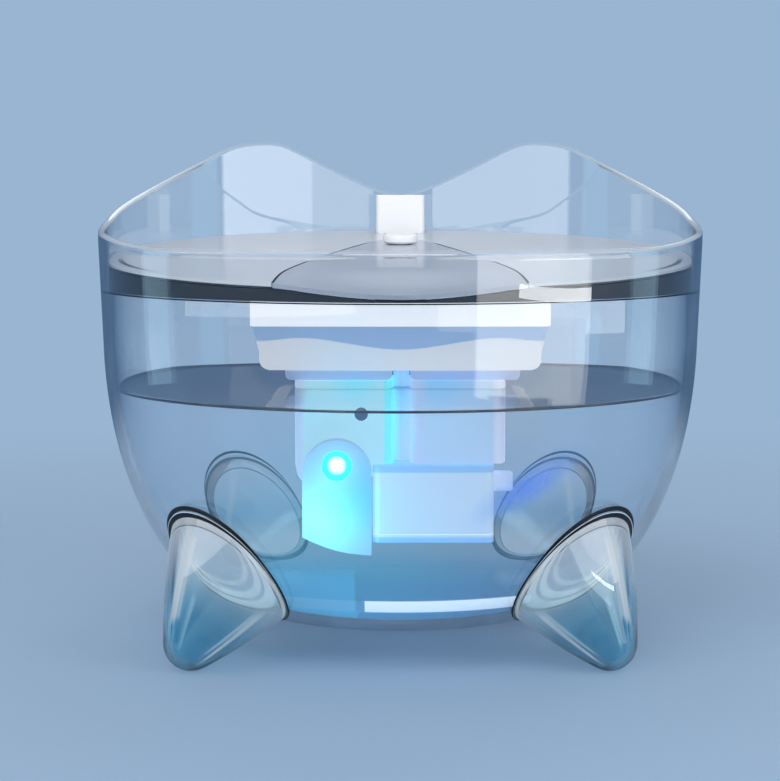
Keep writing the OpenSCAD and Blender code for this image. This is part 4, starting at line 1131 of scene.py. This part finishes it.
# seam round the tongue-shaped spillway: a thin dark strip on the tray, one on each side

tongue = {
    "half": 41.0, "neck": 62.0, "gap": 0.3, "front": -96.0, "rear": 48.0, "steps": 90, "width": 0.8,
    "rise": 0.04, "foot": 0.01, "taper": 6, "trayR": 106.2, "edgeGap": 0.6, "sharp": 30,
    "shares": [(-1.9, 1.0), (-1.28, 0.99), (-0.97, 0.96), (-0.72, 0.9), (-0.35, 0.785), (-0.06, 0.67),
               (0.3, 0.52), (0.52, 0.425), (0.7, 0.345), (0.87, 0.255), (1.0, 0.17), (1.1, 0.159)],
    "colour": tint(12, 18, 28), "grain": 500, "roughness": 0.7, "spread": 0.2, "specular": 0.1,
}


def tongueHalf(y):
    return tongue["half"] * smoothTable(tongue["shares"], min(y / tongue["neck"], tongue["shares"][-1][0]))


def onTray(x, y, up):
    a = math.radians(tray["tilt"])
    height = tray["midH"] + y * math.sin(a) + up * math.cos(a)
    return Vector((x, y * math.cos(a) - up * math.sin(a), height)) * mm


def tongueLine():  # the right side of the spillway, from the rear to the tray's edge
    line = []
    for i in range(tongue["steps"] + 1):
        y = tongue["rear"] + (tongue["front"] - tongue["rear"]) * i / tongue["steps"]
        x = tongueHalf(y) - tongue["gap"] / 2
        if math.hypot(x, y) < tongue["trayR"] - tongue["edgeGap"]:
            line.append((x, y))
    return line


def makeSeam():
    dark = grainyFinish("tongueSeam", tongue)
    line, foot, rise = tongueLine(), tongue["foot"], tongue["rise"]
    for tag, side in (("Left", -1), ("Right", 1)):
        rows = []
        for i, (x, y) in enumerate(line):
            a, b = line[max(0, i - 1)], line[min(len(line) - 1, i + 1)]
            way = Vector((b[0] - a[0], b[1] - a[1])).normalized()
            taper = min(1.0, (i + 1) / tongue["taper"])
            out = Vector((-way[1], way[0])) * tongue["width"] / 2 * taper
            rows.append([onTray(side * (x + out[0] * k), y + out[1] * k, up)
                         for k, up in ((-1, foot), (-1, rise), (1, rise), (1, foot))])
        points, faces = ringGrid(rows)
        last = len(points) - 4
        faces += [(3, 2, 1, 0), (last, last + 1, last + 2, last + 3)]
        makePiece("tongueSeam" + tag, points, faces, dark, "tray", tongue["sharp"])


makeSeam()
print("seam ready")


# light of the lamp itself, and of the water below it

lamp = {
    "colour": tint(90, 235, 255),
    "bulbs": [
        {"name": "lampLight", "at": (-0.0226, -0.0365, 0.0646), "power": 0.0022, "radius": 0.004},
        {"name": "waterLight", "at": (-0.028, -0.042, 0.045), "power": 0.024, "radius": 0.01},
    ],
}


def bulb(spot):
    light = bpy.data.lights.new(spot["name"], "POINT")
    light.energy = spot["power"]
    light.color = lamp["colour"]
    light.shadow_soft_size = spot["radius"]
    made = addObject(spot["name"], light)
    made.location = spot["at"]
    made.visible_camera = False
    made.visible_glossy = False
    made.visible_transmission = False


for spot in lamp["bulbs"]:
    bulb(spot)
print("lamp lit")
